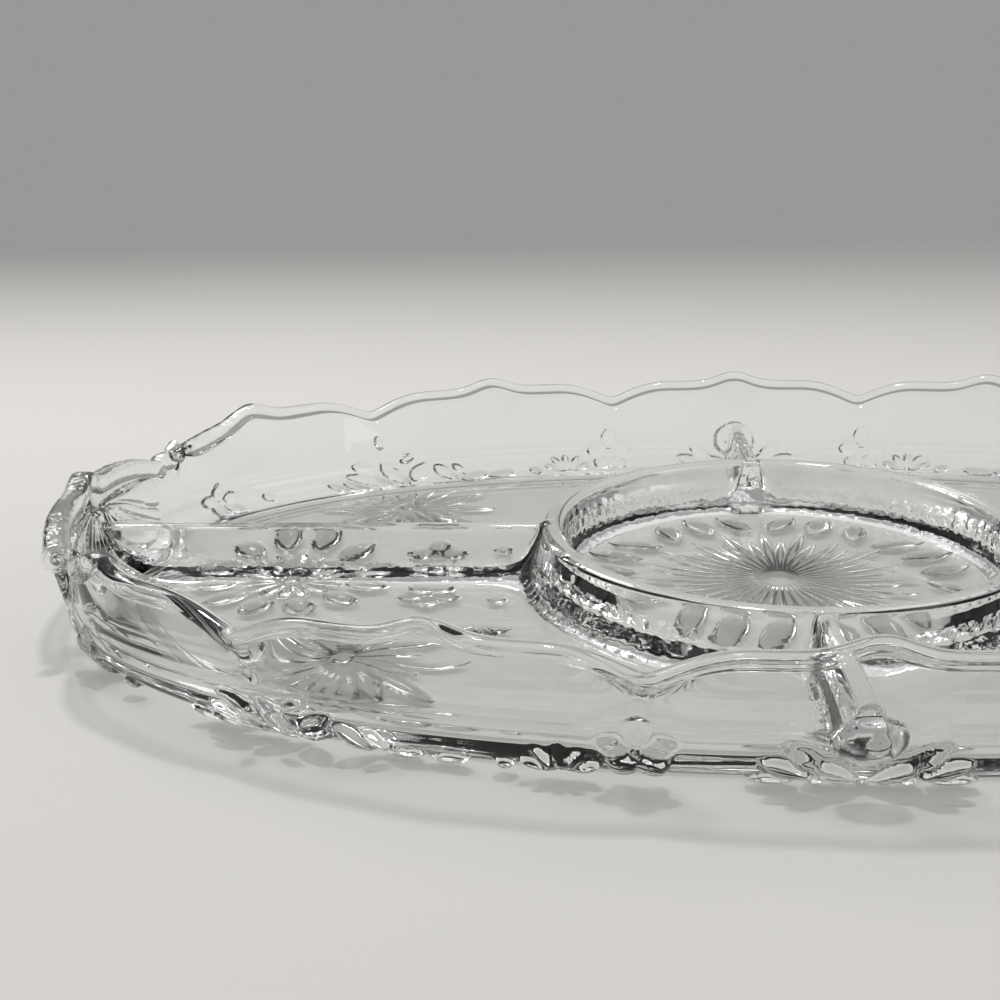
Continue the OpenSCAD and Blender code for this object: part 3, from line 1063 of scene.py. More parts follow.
@dataclass
class GlassGrid:
    """Grid of the closed glass surface, in millimetres.

    Attributes:
        oval: Oval of the tray.
        rim: Line of the rim.
        pitch: Distance between two columns and between two rows of the relief.
        rib_zone: Half width of the zone at a divider, where the columns lie closer together.
        rib_columns: Columns of that zone: first and last distance from its middle, and step.
        well_rows: Radii of the rows in the well.
        floor_rows: Rows of the floor: first and last share of the way to the wall, and count.
        spans: Length that the rows of a section are counted for.
        foot_rows: Rows of the foot: distance inside the base and height.
        under_core: Radius of the last row of the underside that is counted by pitches.
        under_rows: Radii of the rows inside it.
        under_stretch: Distance between two rows of the underside, in pitches.
        ring_inner_draft: Distance by which the ring's inner face leans in towards the foot.
        cove_clear: Distance that the inner cove's end keeps from the wall's inner line.
        cove_way: Length up the outside of the wall to the end of the outer cove.
        wave_fade: Exponent with which the rim's line fades down the wall.
        rib_blend: Fillet between a divider and the wall.
        rib_blend_rise: Height over which that fillet sets in.
        flare_r: Radius of the fillet in a corner between the ring and a divider, at its foot.
        flare_top_r: Its radius at the top, which is added all the way down.
        flare_halvings: Steps in which the height of that fillet is found.
        divider_edge: Height from which a divider owns a point.
        fan_edge: Height from which a fan owns a point.
        relief_edge: Height from which a motif owns a point.
        relief_clear: Distance that the relief keeps above the table.
        u: Run of each column.
        angle: Direction of each column on the well, in degrees.
        rows: Points of each row.
        kinds: Number of the section that each row belongs to.
        ups: How far along its section each point lies.
        points: All points.
        owners: Number of the node that owns each point.
        shape: Shape of the rim's bead.
        stipple: How strongly each point is stippled, from 0 to 1.
        names: Names of the nodes.
    """

    oval: Oval
    rim: RimLine
    pitch: float = PITCH
    rib_zone: float = 8.0
    rib_columns: tuple[tuple[float, ...], ...] = ((0.0, 1.2, 0.4), (1.2, 4.0, 0.25), (4.0, 7.6, 0.5))
    well_rows: tuple[float, ...] = (0.6, 4, 10, 16, 22, 28, 34, 40, 44, 46)
    floor_rows: tuple[tuple[float, float, int], ...] = ((0, 0.12, 11), (0.12, 0.8, 20), (0.8, 1, 14))
    spans: dict[Section, float] = field(default_factory=lambda: {
        Section.INNER_COVE: 24.0,
        Section.INNER_WALL: 10.0,
        Section.CAP: 14.0,
        Section.OUTER_WALL: 20.0,
        Section.OUTER_COVE: 11.0,
    })
    foot_rows: tuple[tuple[float, float], ...] = (
        (0.7, 1.57), (1.15, 1.42), (1.42, 1.1), (1.5, 0.7), (1.62, 0.3), (1.85, 0.08), (2.2, 0),
        (3.8, 0), (4.15, 0.08), (4.38, 0.3), (4.5, 0.7), (4.58, 1.1), (4.85, 1.42), (5.3, 1.57),
        (5.9, 1.6),
    )
    under_core: float = 4.0
    under_rows: tuple[float, ...] = (2.0, 0.6)
    under_stretch: float = 1.1
    ring_inner_draft: float = 1.0
    cove_clear: float = 2.0
    cove_way: float = 9.6
    wave_fade: float = 3.0
    rib_blend: float = 2.4
    rib_blend_rise: float = 3.0
    flare_r: float = 7.0
    flare_top_r: float = 0.4
    flare_halvings: int = 20
    divider_edge: float = 0.15
    fan_edge: float = 0.05
    relief_edge: float = 0.02
    relief_clear: float = 0.2
    u: np.ndarray = field(init=False)
    angle: np.ndarray = field(init=False)
    rows: list[np.ndarray] = field(default_factory=list)
    kinds: list[int] | np.ndarray = field(default_factory=list)
    ups: list[np.ndarray] | np.ndarray = field(default_factory=list)
    points: np.ndarray = field(init=False)
    owners: np.ndarray = field(init=False)
    shape: BeadShape = field(init=False)
    stipple: np.ndarray = field(init=False)
    names: list[str] = field(default_factory=list)

    def columns(self) -> None:
        """Lay the columns round the oval, closer together at the dividers."""
        q = self.oval.quarter
        rib = np.concatenate([np.arange(*steps) for steps in self.rib_columns])
        rib = rib[::2] if self.pitch > PITCH else rib
        inner = np.linspace(self.rib_zone, q - self.rib_zone, int((q - 2 * self.rib_zone) / self.pitch))
        v = np.concatenate([rib, inner, (q - rib)[::-1]])
        self.u = np.concatenate([v, (2 * q - v)[::-1][1:], (2 * q + v)[1:], (4 * q - v)[::-1][1:-1]])
        edge = math.degrees(math.asin(self.rib_zone / self.ring_toe))
        turn = np.interp(v, [self.rib_zone, q - self.rib_zone], [edge, 90 - edge])
        near, far = v < self.rib_zone, v > q - self.rib_zone
        turn[near] = np.degrees(np.arcsin(v[near] / self.ring_toe))
        turn[far] = 90 - np.degrees(np.arcsin((q - v[far]) / self.ring_toe))
        self.angle = np.concatenate(
            [90 + turn, (270 - turn)[::-1][1:], (270 + turn)[1:], (450 - turn)[::-1][1:-1]]
        )

    def shares(self, kind: Section) -> np.ndarray:
        """Shares of the way over a section at which its rows lie."""
        return np.linspace(0, 1, int(self.spans[kind] / self.pitch))

    @property
    def ring_toe(self) -> float:
        """Outer radius of the ring's fillet."""
        s = self.oval.sizes
        return s.well_r + s.ring_draft + s.rib_fillet

    def add(self, kind: Section, x: np.ndarray, y: np.ndarray, z: np.ndarray, up: np.ndarray) -> None:
        """Add one row of points.

        Args:
            kind: Section that the row belongs to.
            x: Place along the tray of each point, or of all.
            y: Place across the tray.
            z: Height.
            up: How far along its section the row lies.
        """
        ones = np.ones_like(self.u)
        self.rows.append(np.stack([x * ones, y * ones, z * ones], axis=1))
        self.kinds.append(kind.value)
        self.ups.append(up * ones)

    def circle_row(self, kind: Section, r: float, z: float) -> None:
        """Add a round row."""
        a = np.radians(self.angle)
        self.add(kind, r * np.cos(a), r * np.sin(a), z, 0.0)

    def rib_curve(self, outer_foot: float, outer_top: float, top: float) -> list[tuple[float, float]]:
        """Outline of one side of a rib, from its crown down to the toe of its fillet.

        Args:
            outer_foot: Place of its face at the foot.
            outer_top: Place of its face at the top.
            top: Height of the rib.

        Returns:
            Place and height of each point.
        """
        s = self.oval.sizes
        t = np.radians(np.linspace(90, 0, 7))
        crown = zip(outer_top - s.crown_r * (1 - np.cos(t)), top - s.crown_r * (1 - np.sin(t)))
        f = np.linspace(0, 1, 9)[1:-1]
        face = zip(
            mix(outer_top, outer_foot, f), mix(top - s.crown_r, s.floor_z + s.rib_fillet, f)
        )
        t = np.radians(np.linspace(90, 0, 9))
        fillet = zip(
            outer_foot + s.rib_fillet * (1 - np.sin(t)), s.floor_z + s.rib_fillet * (1 - np.cos(t))
        )
        return [*crown, *face, *fillet]

    def upper_side(self) -> None:
        """Rows of the well, its ring, the floor and the inside of the wall."""
        s, turn = self.oval.sizes, self.oval.turn_of(self.u)
        for r in self.well_rows:
            self.circle_row(Section.WELL, r, s.floor_z)
        inner_r = s.well_r - s.ring_w
        inner = self.rib_curve(self.ring_inner_draft - inner_r, -inner_r, s.ring_h)
        for r, z in reversed(inner):
            self.circle_row(Section.RING, -r, z)
        for r, z in self.rib_curve(s.well_r + s.ring_draft, s.well_r, s.ring_h):
            self.circle_row(Section.RING, r, z)
        a = np.radians(self.angle)
        x0, y0 = self.ring_toe * np.cos(a), self.ring_toe * np.sin(a)
        x1, y1 = self.oval.at(s.floor_a, s.floor_b, turn)
        shares = [np.linspace(*stretch)[1:] for stretch in self.floor_rows]
        for f in np.concatenate(shares)[:-1]:
            self.add(Section.FLOOR, mix(x0, x1, f), mix(y0, y1, f), s.floor_z, f)
        grow_a = s.rim_a - s.wall_t / 2 - self.cove_clear - s.floor_a
        grow_b = s.base_b + (s.rim_b - s.base_b) / 2 - s.wall_t - s.floor_b
        past_scroll = self.oval.from_middle(self.u) - self.rim.handle_run
        end_run = self.oval.quarter - self.rim.handle_run
        high = mix(s.side_cove_z, s.end_cove_z, smooth(past_scroll / end_run))
        for f in self.shares(Section.INNER_COVE):
            t = math.pi / 2 * f
            x, y = self.oval.at(s.floor_a + grow_a * math.sin(t), s.floor_b + grow_b * math.sin(t), turn)
            self.add(Section.INNER_COVE, x, y, s.floor_z + high * (1 - math.cos(t)), 4 * f)
        start = self.shape.start(s.wall_t / 2)
        inset = s.wall_t / 2 + self.shape.tuck
        xe, ye = self.oval.at(s.rim_a - inset, s.rim_b - inset, turn)
        xs, ys, zs = self.rows[-1].T
        for f in self.shares(Section.INNER_WALL)[1:]:
            z = mix(zs, self.shape.level, f) + (start - self.shape.level) * f ** self.wave_fade
            self.add(Section.INNER_WALL, mix(xs, xe, f), mix(ys, ye, f), z, 4 + f)

    def bead_rows(self) -> None:
        """Rows over the rim's bead, from the inner to the outer side."""
        s, turn, shape = self.oval.sizes, self.oval.turn_of(self.u), self.shape
        start = np.arccos(shape.lean(s.wall_t / 2))
        for f in self.shares(Section.CAP)[1:]:
            psi = mix(-start, np.pi + start, f)
            c, sn = np.cos(psi), np.sin(psi)
            power = 2 / shape.power
            off = -shape.half_w * np.sign(c) * np.abs(c) ** power - shape.tuck
            z = shape.top - shape.half_h + shape.half_h * np.sign(sn) * np.abs(sn) ** power
            x, y = self.oval.at(s.rim_a + off, s.rim_b + off, turn)
            self.add(Section.CAP, x, y, z, f)

    def outer_side(self) -> None:
        """Rows down the outside of the wall, round the foot and over the underside."""
        s, turn = self.oval.sizes, self.oval.turn_of(self.u)
        grow_a, grow_b = s.rim_a - s.base_a, (s.rim_b - s.base_b) / 2
        xs, ys, zs = self.rows[-1].T
        xe, ye = self.oval.at(s.base_a + grow_a, s.base_b + grow_b, turn)
        ze = s.foot_h + s.cove_z
        long_way = np.sqrt((xs - xe) ** 2 + (ys - ye) ** 2 + (zs - ze) ** 2)
        for f in self.shares(Section.OUTER_WALL)[1:]:
            z = mix(self.shape.level, ze, f) + (zs - self.shape.level) * (1 - f) ** self.wave_fade
            up = self.cove_way + long_way * (1 - f)
            self.add(Section.OUTER_WALL, mix(xs, xe, f), mix(ys, ye, f), z, up)
        for f in self.shares(Section.OUTER_COVE)[1:]:
            t = math.pi / 2 * (1 - f)
            x, y = self.oval.at(s.base_a + grow_a * math.sin(t), s.base_b + grow_b * math.sin(t), turn)
            z = s.foot_h + s.cove_z * (1 - math.cos(t))
            self.add(Section.OUTER_COVE, x, y, z, self.cove_way * (1 - f))
        for off, z in self.foot_rows:
            x, y = self.oval.at(s.base_a - off, s.base_b - off, turn)
            self.add(Section.FOOT, x, y, z, off)
        a, core = np.radians(self.angle), self.under_core
        x0, y0 = self.rows[-1][:, 0], self.rows[-1][:, 1]
        steps = int((s.base_a - core) / (self.pitch * self.under_stretch))
        for f in np.linspace(0, 1, steps)[1:]:
            x, y = mix(x0, core * np.cos(a), f), mix(y0, core * np.sin(a), f)
            self.add(Section.UNDERSIDE, x, y, s.foot_h, f)
        for r in self.under_rows:
            self.circle_row(Section.UNDERSIDE, r, s.foot_h)

    def normals(self) -> np.ndarray:
        """Outward normals of the grid's points.

        Returns:
            A normal for each point.
        """
        p = self.points
        along = np.roll(p, -1, axis=1) - p
        down = p[1:] - p[:-1]
        face = np.cross((down + np.roll(down, -1, axis=1)) / 2, (along[1:] + along[:-1]) / 2)
        total = np.zeros_like(p)
        total[:-1] += face
        total[1:] += face
        total = total + np.roll(total, 1, axis=1)
        size = np.linalg.norm(total, axis=2, keepdims=True)
        return total / np.maximum(size, 1e-12)

    def own(self, name: str, mask: np.ndarray) -> None:
        """Give points to a node.

        Args:
            name: Name of the node.
            mask: The points, or the rows as a column.
        """
        if name not in self.names:
            self.names.append(name)
        self.owners[np.broadcast_to(mask, self.owners.shape)] = self.names.index(name)

    def build(self, relief: Iterable[Motif]) -> None:
        """Work out the whole surface and who owns which part of it.

        Args:
            relief: Motifs on the outside of the tray.
        """
        self.columns()
        self.shape = self.rim.bead(self.u)
        self.upper_side()
        self.bead_rows()
        self.outer_side()
        self.points = np.stack(self.rows)
        self.kinds = np.array(self.kinds)
        self.ups = np.stack(self.ups)
        self.owners = np.zeros(self.points.shape[:2], dtype=int)
        self.share_out()
        self.lift_dividers()
        self.lift_fans(FanShape())
        self.lift_relief(relief)
        self.hammer(HammerMarks())

    def rows_of(self, *kinds: Section) -> np.ndarray:
        """Mask of the rows of some sections, as a column."""
        return np.isin(self.kinds, [k.value for k in kinds])[:, None]

    def share_out(self) -> None:
        """Give each point to the node that its section belongs to."""
        s = self.oval.sizes
        x, y = self.points[..., 0], self.points[..., 1]
        r = np.hypot(x, y)
        d = self.oval.from_middle(self.u)[None, :]
        on_side = d < self.rim.handle_run - self.rim.post_half
        on_end = d > self.rim.handle_run + self.rim.post_half
        on_post = ~(on_side | on_end)
        wall = self.rows_of(
            Section.INNER_COVE, Section.INNER_WALL, Section.OUTER_WALL, Section.OUTER_COVE
        )
        cap = self.rows_of(Section.CAP)
        self.own("base_floor", self.rows_of(Section.FLOOR, Section.UNDERSIDE) & (r > s.well_floor_r))
        self.own("well_floor", self.rows_of(Section.WELL, Section.UNDERSIDE) & (r <= s.well_floor_r))
        self.own("well_ring", self.rows_of(Section.RING))
        self.own("foot_rim", self.rows_of(Section.FOOT))
        for name, half in (("front", y < 0), ("back", y >= 0)):
            self.own(f"{name}_wall", wall & on_side & half)
            self.own(f"{name}_rim", cap & on_side & half)
        for name, half in (("left", x < 0), ("right", x >= 0)):
            self.own(f"{name}_end_wall", wall & on_end & half)
            self.own(f"{name}_handle_lip", cap & on_end & half)
            self.own(f"{name}_scrolls", (wall | cap) & on_post & half)

    def lift_dividers(self) -> None:
        """Raise the four dividers out of the floor, up to the ring and the wall."""
        s = self.oval.sizes
        outline = self.rib_curve(s.divider_foot, s.divider_top, s.divider_h)
        off_at, z_at = np.array([(0.0, s.divider_h), *outline]).T
        x, y, z = self.points[..., 0], self.points[..., 1], self.points[..., 2]
        top = self.rows_of(Section.RING, Section.FLOOR, Section.INNER_COVE, Section.INNER_WALL)
        r = np.hypot(x, y)
        zones = (
            ("left", (x < 0) & (np.abs(x) > np.abs(y)), np.abs(y)),
            ("right", (x > 0) & (np.abs(x) > np.abs(y)), np.abs(y)),
            ("front", (y < 0) & (np.abs(y) > np.abs(x)), np.abs(x)),
            ("back", (y > 0) & (np.abs(y) > np.abs(x)), np.abs(x)),
        )
        for name, side, off in zones:
            near = top & side & (off < off_at[-1]) & (r > s.well_r - s.crown_r)
            rib = np.interp(off[near], off_at, z_at)
            here = z[near]
            low = np.minimum(rib, here) - s.floor_z
            lifted = soft_max(here, rib, self.rib_blend * smooth(low / self.rib_blend_rise))
            owned = np.zeros_like(near)
            owned[near] = lifted > here + self.divider_edge
            self.points[..., 2][near] = lifted
            corner = top & side & (off < off_at[-1] + self.flare_r) & (r < self.ring_toe + self.flare_r)
            corner &= r > s.well_r
            flare = self.flare_z(r[corner], off[corner])
            here = self.points[..., 2][corner]
            owned[corner] |= flare > here + self.divider_edge
            self.points[..., 2][corner] = np.maximum(here, flare)
            self.own(f"{name}_divider", owned)

    def flare_z(self, r: np.ndarray, off: np.ndarray) -> np.ndarray:
        """Height of the wide fillet in the corner between the ring and a divider.

        Args:
            r: Distance from the middle of the tray.
            off: Distance from the middle of the divider.

        Returns:
            Height of the fillet, which is widest at its foot.
        """
        s = self.oval.sizes
        ring_off, ring_z = np.array(self.rib_curve(s.well_r + s.ring_draft, s.well_r, s.ring_h)).T
        rib_off, rib_z = np.array(self.rib_curve(s.divider_foot, s.divider_top, s.divider_h)).T
        low, high = np.full_like(r, s.floor_z), np.full_like(r, s.divider_h)
        for _ in range(self.flare_halvings):
            z = (low + high) / 2
            share = (z - s.floor_z) / (s.ring_h - s.floor_z)
            radius = self.flare_r * (1 - share) ** 2 + self.flare_top_r
            from_ring = r - np.interp(z, ring_z[::-1], ring_off[::-1])
            from_rib = off - np.interp(z, rib_z[::-1], rib_off[::-1])
            short_ring, short_rib = np.maximum(radius - from_ring, 0), np.maximum(radius - from_rib, 0)
            within = np.hypot(short_ring, short_rib) > radius
            low, high = np.where(within, z, low), np.where(within, high, z)
        return low

    def hammer(self, marks: HammerMarks) -> None:
        """Work small dents into the feet of the ring and dividers, the lips and the swollen rim.

        Args:
            marks: Dents of the mould.
        """
        s = self.oval.sizes
        z = self.points[..., 2]
        zone = self.rows_of(Section.RING, Section.FLOOR) & (z > s.floor_z + marks.foot_clear)
        above = (z - s.floor_z) / s.rib_fillet
        set_in, fade = marks.foot_fade
        foot = smooth(above / set_in) * smooth((marks.foot_top - above) / fade)
        foot = np.where(zone, foot, 0.0)
        cap = self.rows_of(Section.CAP) * np.sin(np.pi * np.clip(self.ups, 0, 1)) ** 2
        grow = self.rim.swell(self.u)[None, :]
        swollen = cap * smooth((grow - marks.swollen_from) / marks.swollen_over)
        self.stipple = np.maximum(marks.foot_stipple * foot, swollen)
        depth = foot * marks.foot_depth + swollen * marks.bead_depth
        near = depth > marks.least
        normals = self.normals()
        self.points[near] += normals[near] * (depth[near] * marks.dents(self.points[near]))[:, None]

    def lift_fans(self, fan: FanShape) -> None:
        """Raise the round fingers of the fan inside each handle, which spread from one hub.

        Args:
            fan: Shape of the fan.
        """
        s, q = self.oval.sizes, self.oval.quarter
        normals = self.normals()
        rows = self.rows_of(Section.FLOOR, Section.INNER_COVE, Section.INNER_WALL)
        on_floor = (self.ups - 1) * (s.floor_a - self.ring_toe)
        climb = np.where(self.rows_of(Section.FLOOR), on_floor, self.ups * fan.level_run)
        for name, middle in (("left", q), ("right", 3 * q)):
            off = np.abs(self.u - middle)[None, :] * np.ones_like(climb)
            near = rows & (off > fan.clear) & (np.hypot(off, fan.hub_up - climb) < fan.radius + fan.margin)
            lift = fan.height(off[near], climb[near], s.flutes)
            owned = np.zeros_like(near)
            owned[near] = lift > self.fan_edge
            self.points[near] += normals[near] * lift[:, None]
            self.own(f"{name}_fan", owned)

    def lift_relief(self, relief: Iterable[Motif]) -> None:
        """Press the motifs into the underside and the outside of the wall.

        Args:
            relief: Motifs on the outside of the tray.
        """
        s = self.oval.sizes
        normals = self.normals()
        under = self.kinds == Section.UNDERSIDE.value
        wall = np.isin(self.kinds, [Section.OUTER_WALL.value, Section.OUTER_COVE.value])
        high = np.zeros(self.points.shape[:2])
        for motif in relief:
            rows = wall if motif.wall else under
            index = np.flatnonzero(rows)
            block = slice(index[0], index[-1] + 1)
            if motif.wall:
                lap = 4 * self.oval.quarter
                p = np.mod(motif.origin[0] - self.u + lap / 2, lap) - lap / 2
                p = p[None, :] * np.ones_like(self.ups[block])
                q = self.ups[block]
            else:
                p = motif.way * (self.points[block, :, 0] - motif.origin[0])
                q = motif.way * (self.points[block, :, 1] - motif.origin[1])
            reach = max(math.hypot(m.p, m.q) + m.reach for m in motif.marks)
            close = np.hypot(p, q) < reach
            pp, qq = p[close], q[close]
            best = np.zeros_like(pp)
            for mark in motif.marks:
                mine = np.hypot(pp - mark.p, qq - mark.q) < mark.reach
                best[mine] = np.maximum(best[mine], mark.height(pp[mine], qq[mine]))
            part = high[block]
            part[close] = np.maximum(part[close], best)
            owned = np.zeros_like(high, dtype=bool)
            owned[block][close] = best > self.relief_edge
            self.own(motif.node, owned)
        high[under] = np.minimum(high[under], s.foot_h - self.relief_clear)
        self.points += normals * high[..., None]


@dataclass
class GlassSkin:
    """Skin of one piece of the glass.

    Attributes:
        points: Points in millimetres.
        faces: Point numbers of each face.
        normals: Normal of each point.
        stipple: How strongly each point is stippled, from 0 to 1.
    """

    points: np.ndarray
    faces: list[list[int]]
    normals: np.ndarray
    stipple: np.ndarray

    def join(self, other: "GlassSkin") -> None:
        """Add another skin to this one.

        Args:
            other: The skin to add.
        """
        self.faces = self.faces + [[k + len(self.points) for k in f] for f in other.faces]
        self.points = np.concatenate([self.points, other.points])
        self.normals = np.concatenate([self.normals, other.normals])
        self.stipple = np.concatenate([self.stipple, other.stipple])


@dataclass
class GlassSplitter:
    """Cuts the glass surface into pieces with shared shading, so that no seam shows.

    Attributes:
        grid: Grid of the whole surface.
    """

    grid: GlassGrid

    def quads(self) -> tuple[np.ndarray, np.ndarray]:
        """Faces of the grid and the owner of each.

        Returns:
            Corner numbers of the faces, and the owners' numbers.
        """
        n_rows, n_cols = self.grid.owners.shape
        i, j = np.meshgrid(np.arange(n_rows - 1), np.arange(n_cols), indexing="ij")
        k = (j + 1) % n_cols
        here, below = i * n_cols, (i + 1) * n_cols
        faces = np.stack([here + j, below + j, below + k, here + k], axis=-1)
        own = self.grid.owners
        near = np.stack([own[:-1], own[1:], np.roll(own, -1, 1)[1:], np.roll(own, -1, 1)[:-1]])
        return faces.reshape(-1, 4), near.max(axis=0).reshape(-1)

    def pieces(self) -> dict[str, GlassSkin]:
        """Cut the surface into the skins of the pieces.

        Returns:
            Skin of each piece in millimetres, by the name of its node.
        """
        grid = self.grid
        points = grid.points.reshape(-1, 3)
        normals = grid.normals().reshape(-1, 3)
        stipple = grid.stipple.reshape(-1)
        faces, owners = self.quads()
        n_cols = grid.owners.shape[1]
        found = {}
        for number, name in enumerate(grid.names):
            mine = faces[owners == number]
            if len(mine) == 0:
                continue
            used, inverse = np.unique(mine, return_inverse=True)
            local = inverse.reshape(mine.shape).tolist()
            if name == "well_floor":
                place = {int(v): k for k, v in enumerate(used)}
                first = len(points) - n_cols
                local.append([place[c] for c in range(n_cols)])
                local.append([place[c] for c in range(first + n_cols - 1, first - 1, -1)])
            found[name] = GlassSkin(points[used], local, normals[used], stipple[used])
        return found


@dataclass
class Nodes:
    """Node tree that is being laid out.

    Attributes:
        tree: The tree.
    """

    tree: bpy.types.NodeTree

    def add(
        self, kind: str, inputs: dict[str | int, Any] | None = None, operation: str = ""
    ) -> bpy.types.Node:
        """Add a node.

        Args:
            kind: Blender's name for the kind of node.
            inputs: Value of each input, or the socket that it is linked from, by name or number.
            operation: Operation of a Math node.

        Returns:
            The new node.
        """
        node = self.tree.nodes.new(kind)
        if operation:
            node.operation = operation
        for name, value in (inputs or {}).items():
            if isinstance(value, bpy.types.NodeSocket):
                self.tree.links.new(value, node.inputs[name])
            else:
                node.inputs[name].default_value = value
        return node

    def math(self, operation: str, first: Any, second: Any) -> bpy.types.NodeSocket:
        """Result of a Math node on two values or sockets."""
        return self.add("ShaderNodeMath", {0: first, 1: second}, operation).outputs[0]

    def mix(self, share: Any, first: bpy.types.Node, second: bpy.types.Node) -> bpy.types.NodeSocket:
        """Blend of two shaders, which is the second one at a share of 1."""
        inputs = {0: share, 1: first.outputs[0], 2: second.outputs[0]}
        return self.add("ShaderNodeMixShader", inputs).outputs[0]

    def any_ray(self, *kinds: str) -> bpy.types.NodeSocket:
        """Tell some kinds of light path from the others.

        Args:
            kinds: Names of the kinds.

        Returns:
            1 for those kinds and 0 for the others.
        """
        path = self.add("ShaderNodeLightPath")
        seen = path.outputs[kinds[0]]
        for other in kinds[1:]:
            seen = self.math("MAXIMUM", seen, path.outputs[other])
        return seen


@dataclass(frozen=True)
class GlassFinish:
    """Clear pressed glass with the faint waves and pits of its mould.

    Attributes:
        finish: Name of the finish.
        tint: Colour of light that passes.
        shade: Colour of the light in the glass's own shadow.
        bend: Index of refraction.
        rough: Lowest and highest roughness.
        smear_scale: Smears per metre.
        smear_detail: Detail of their noise.
        smear_span: Stretch of the noise over which the roughness rises.
        wave: Height of the waves in millimetres.
        wave_scale: Waves per metre.
        wave_detail: Detail of their noise.
        grain: Height of the stipple's pits in millimetres.
        grain_scale: Pits per metre.
        frost: Roughness that full stipple adds.
        least_stipple: Stipple of the whole piece, from 0 to 1.
    """

    finish: Finish
    tint: tuple[float, float, float] = (0.965, 0.98, 0.972)
    shade: tuple[float, float, float] = (0.9, 0.91, 0.905)
    bend: float = 1.5
    rough: tuple[float, float] = (0.0, 0.03)
    smear_scale: float = 35.0
    smear_detail: float = 4.0
    smear_span: tuple[float, float] = (0.4, 0.75)
    wave: float = 0.05
    wave_scale: float = 70.0
    wave_detail: float = 2.0
    grain: float = 0.12
    grain_scale: float = 900.0
    frost: float = 0.12
    least_stipple: float = 0.0

    def material(self) -> bpy.types.Material:
        """Make the node material.

        Returns:
            The material.
        """
        mat = bpy.data.materials.new(self.finish.value)
        mat.use_nodes = True
        mat.node_tree.nodes.clear()
        nodes = Nodes(mat.node_tree)
        place = nodes.add("ShaderNodeTexCoord").outputs["Object"]
        marks = nodes.add("ShaderNodeAttribute")
        marks.attribute_name = STIPPLE
        stipple = nodes.math("MAXIMUM", marks.outputs["Fac"], self.least_stipple)
        glass = nodes.add("ShaderNodeBsdfPrincipled", {
            "Base Color": (*self.tint, 1),
            "IOR": self.bend,
            "Transmission Weight": 1.0,
            "Roughness": self.roughness(nodes, place, stipple),
            "Normal": self.relief(nodes, place, stipple),
        })
        through = nodes.add("ShaderNodeBsdfTransparent", {"Color": (*self.shade, 1)})
        straight = nodes.any_ray("Is Shadow Ray", "Is Diffuse Ray")
        nodes.add("ShaderNodeOutputMaterial", {"Surface": nodes.mix(straight, glass, through)})
        return mat

    def roughness(
        self, nodes: Nodes, place: bpy.types.NodeSocket, stipple: bpy.types.NodeSocket
    ) -> bpy.types.NodeSocket:
        """Roughness of faint smears, with frost where the glass is stippled.

        Args:
            nodes: Node tree of the material.
            place: Place on the object.
            stipple: Strength of the stipple.

        Returns:
            The roughness.
        """
        smears = nodes.add("ShaderNodeTexNoise", {
            "Scale": self.smear_scale, "Detail": self.smear_detail, "Vector": place
        })
        spread = nodes.add("ShaderNodeMapRange", {
            "Value": smears.outputs["Fac"],
            "From Min": self.smear_span[0],
            "From Max": self.smear_span[1],
            "To Min": self.rough[0],
            "To Max": self.rough[1],
        })
        inputs = {0: stipple, 1: self.frost, 2: spread.outputs["Result"]}
        return nodes.add("ShaderNodeMath", inputs, "MULTIPLY_ADD").outputs[0]

    def relief(
        self, nodes: Nodes, place: bpy.types.NodeSocket, stipple: bpy.types.NodeSocket
    ) -> bpy.types.NodeSocket:
        """Bump of the mould's long waves and of the stipple's pits.

        Args:
            nodes: Node tree of the material.
            place: Place on the object.
            stipple: Strength of the stipple.

        Returns:
            The normal.
        """
        waves = nodes.add("ShaderNodeTexNoise", {
            "Scale": self.wave_scale, "Detail": self.wave_detail, "Vector": place
        })
        waved = nodes.add(
            "ShaderNodeBump", {"Distance": self.wave * MM, "Height": waves.outputs["Fac"]}
        )
        pits = nodes.add("ShaderNodeTexVoronoi", {"Scale": self.grain_scale, "Vector": place})
        pitted = nodes.add("ShaderNodeBump", {
            "Distance": self.grain * MM,
            "Height": nodes.math("MULTIPLY", pits.outputs["Distance"], stipple),
            "Normal": waved.outputs["Normal"],
        })
        return pitted.outputs["Normal"]


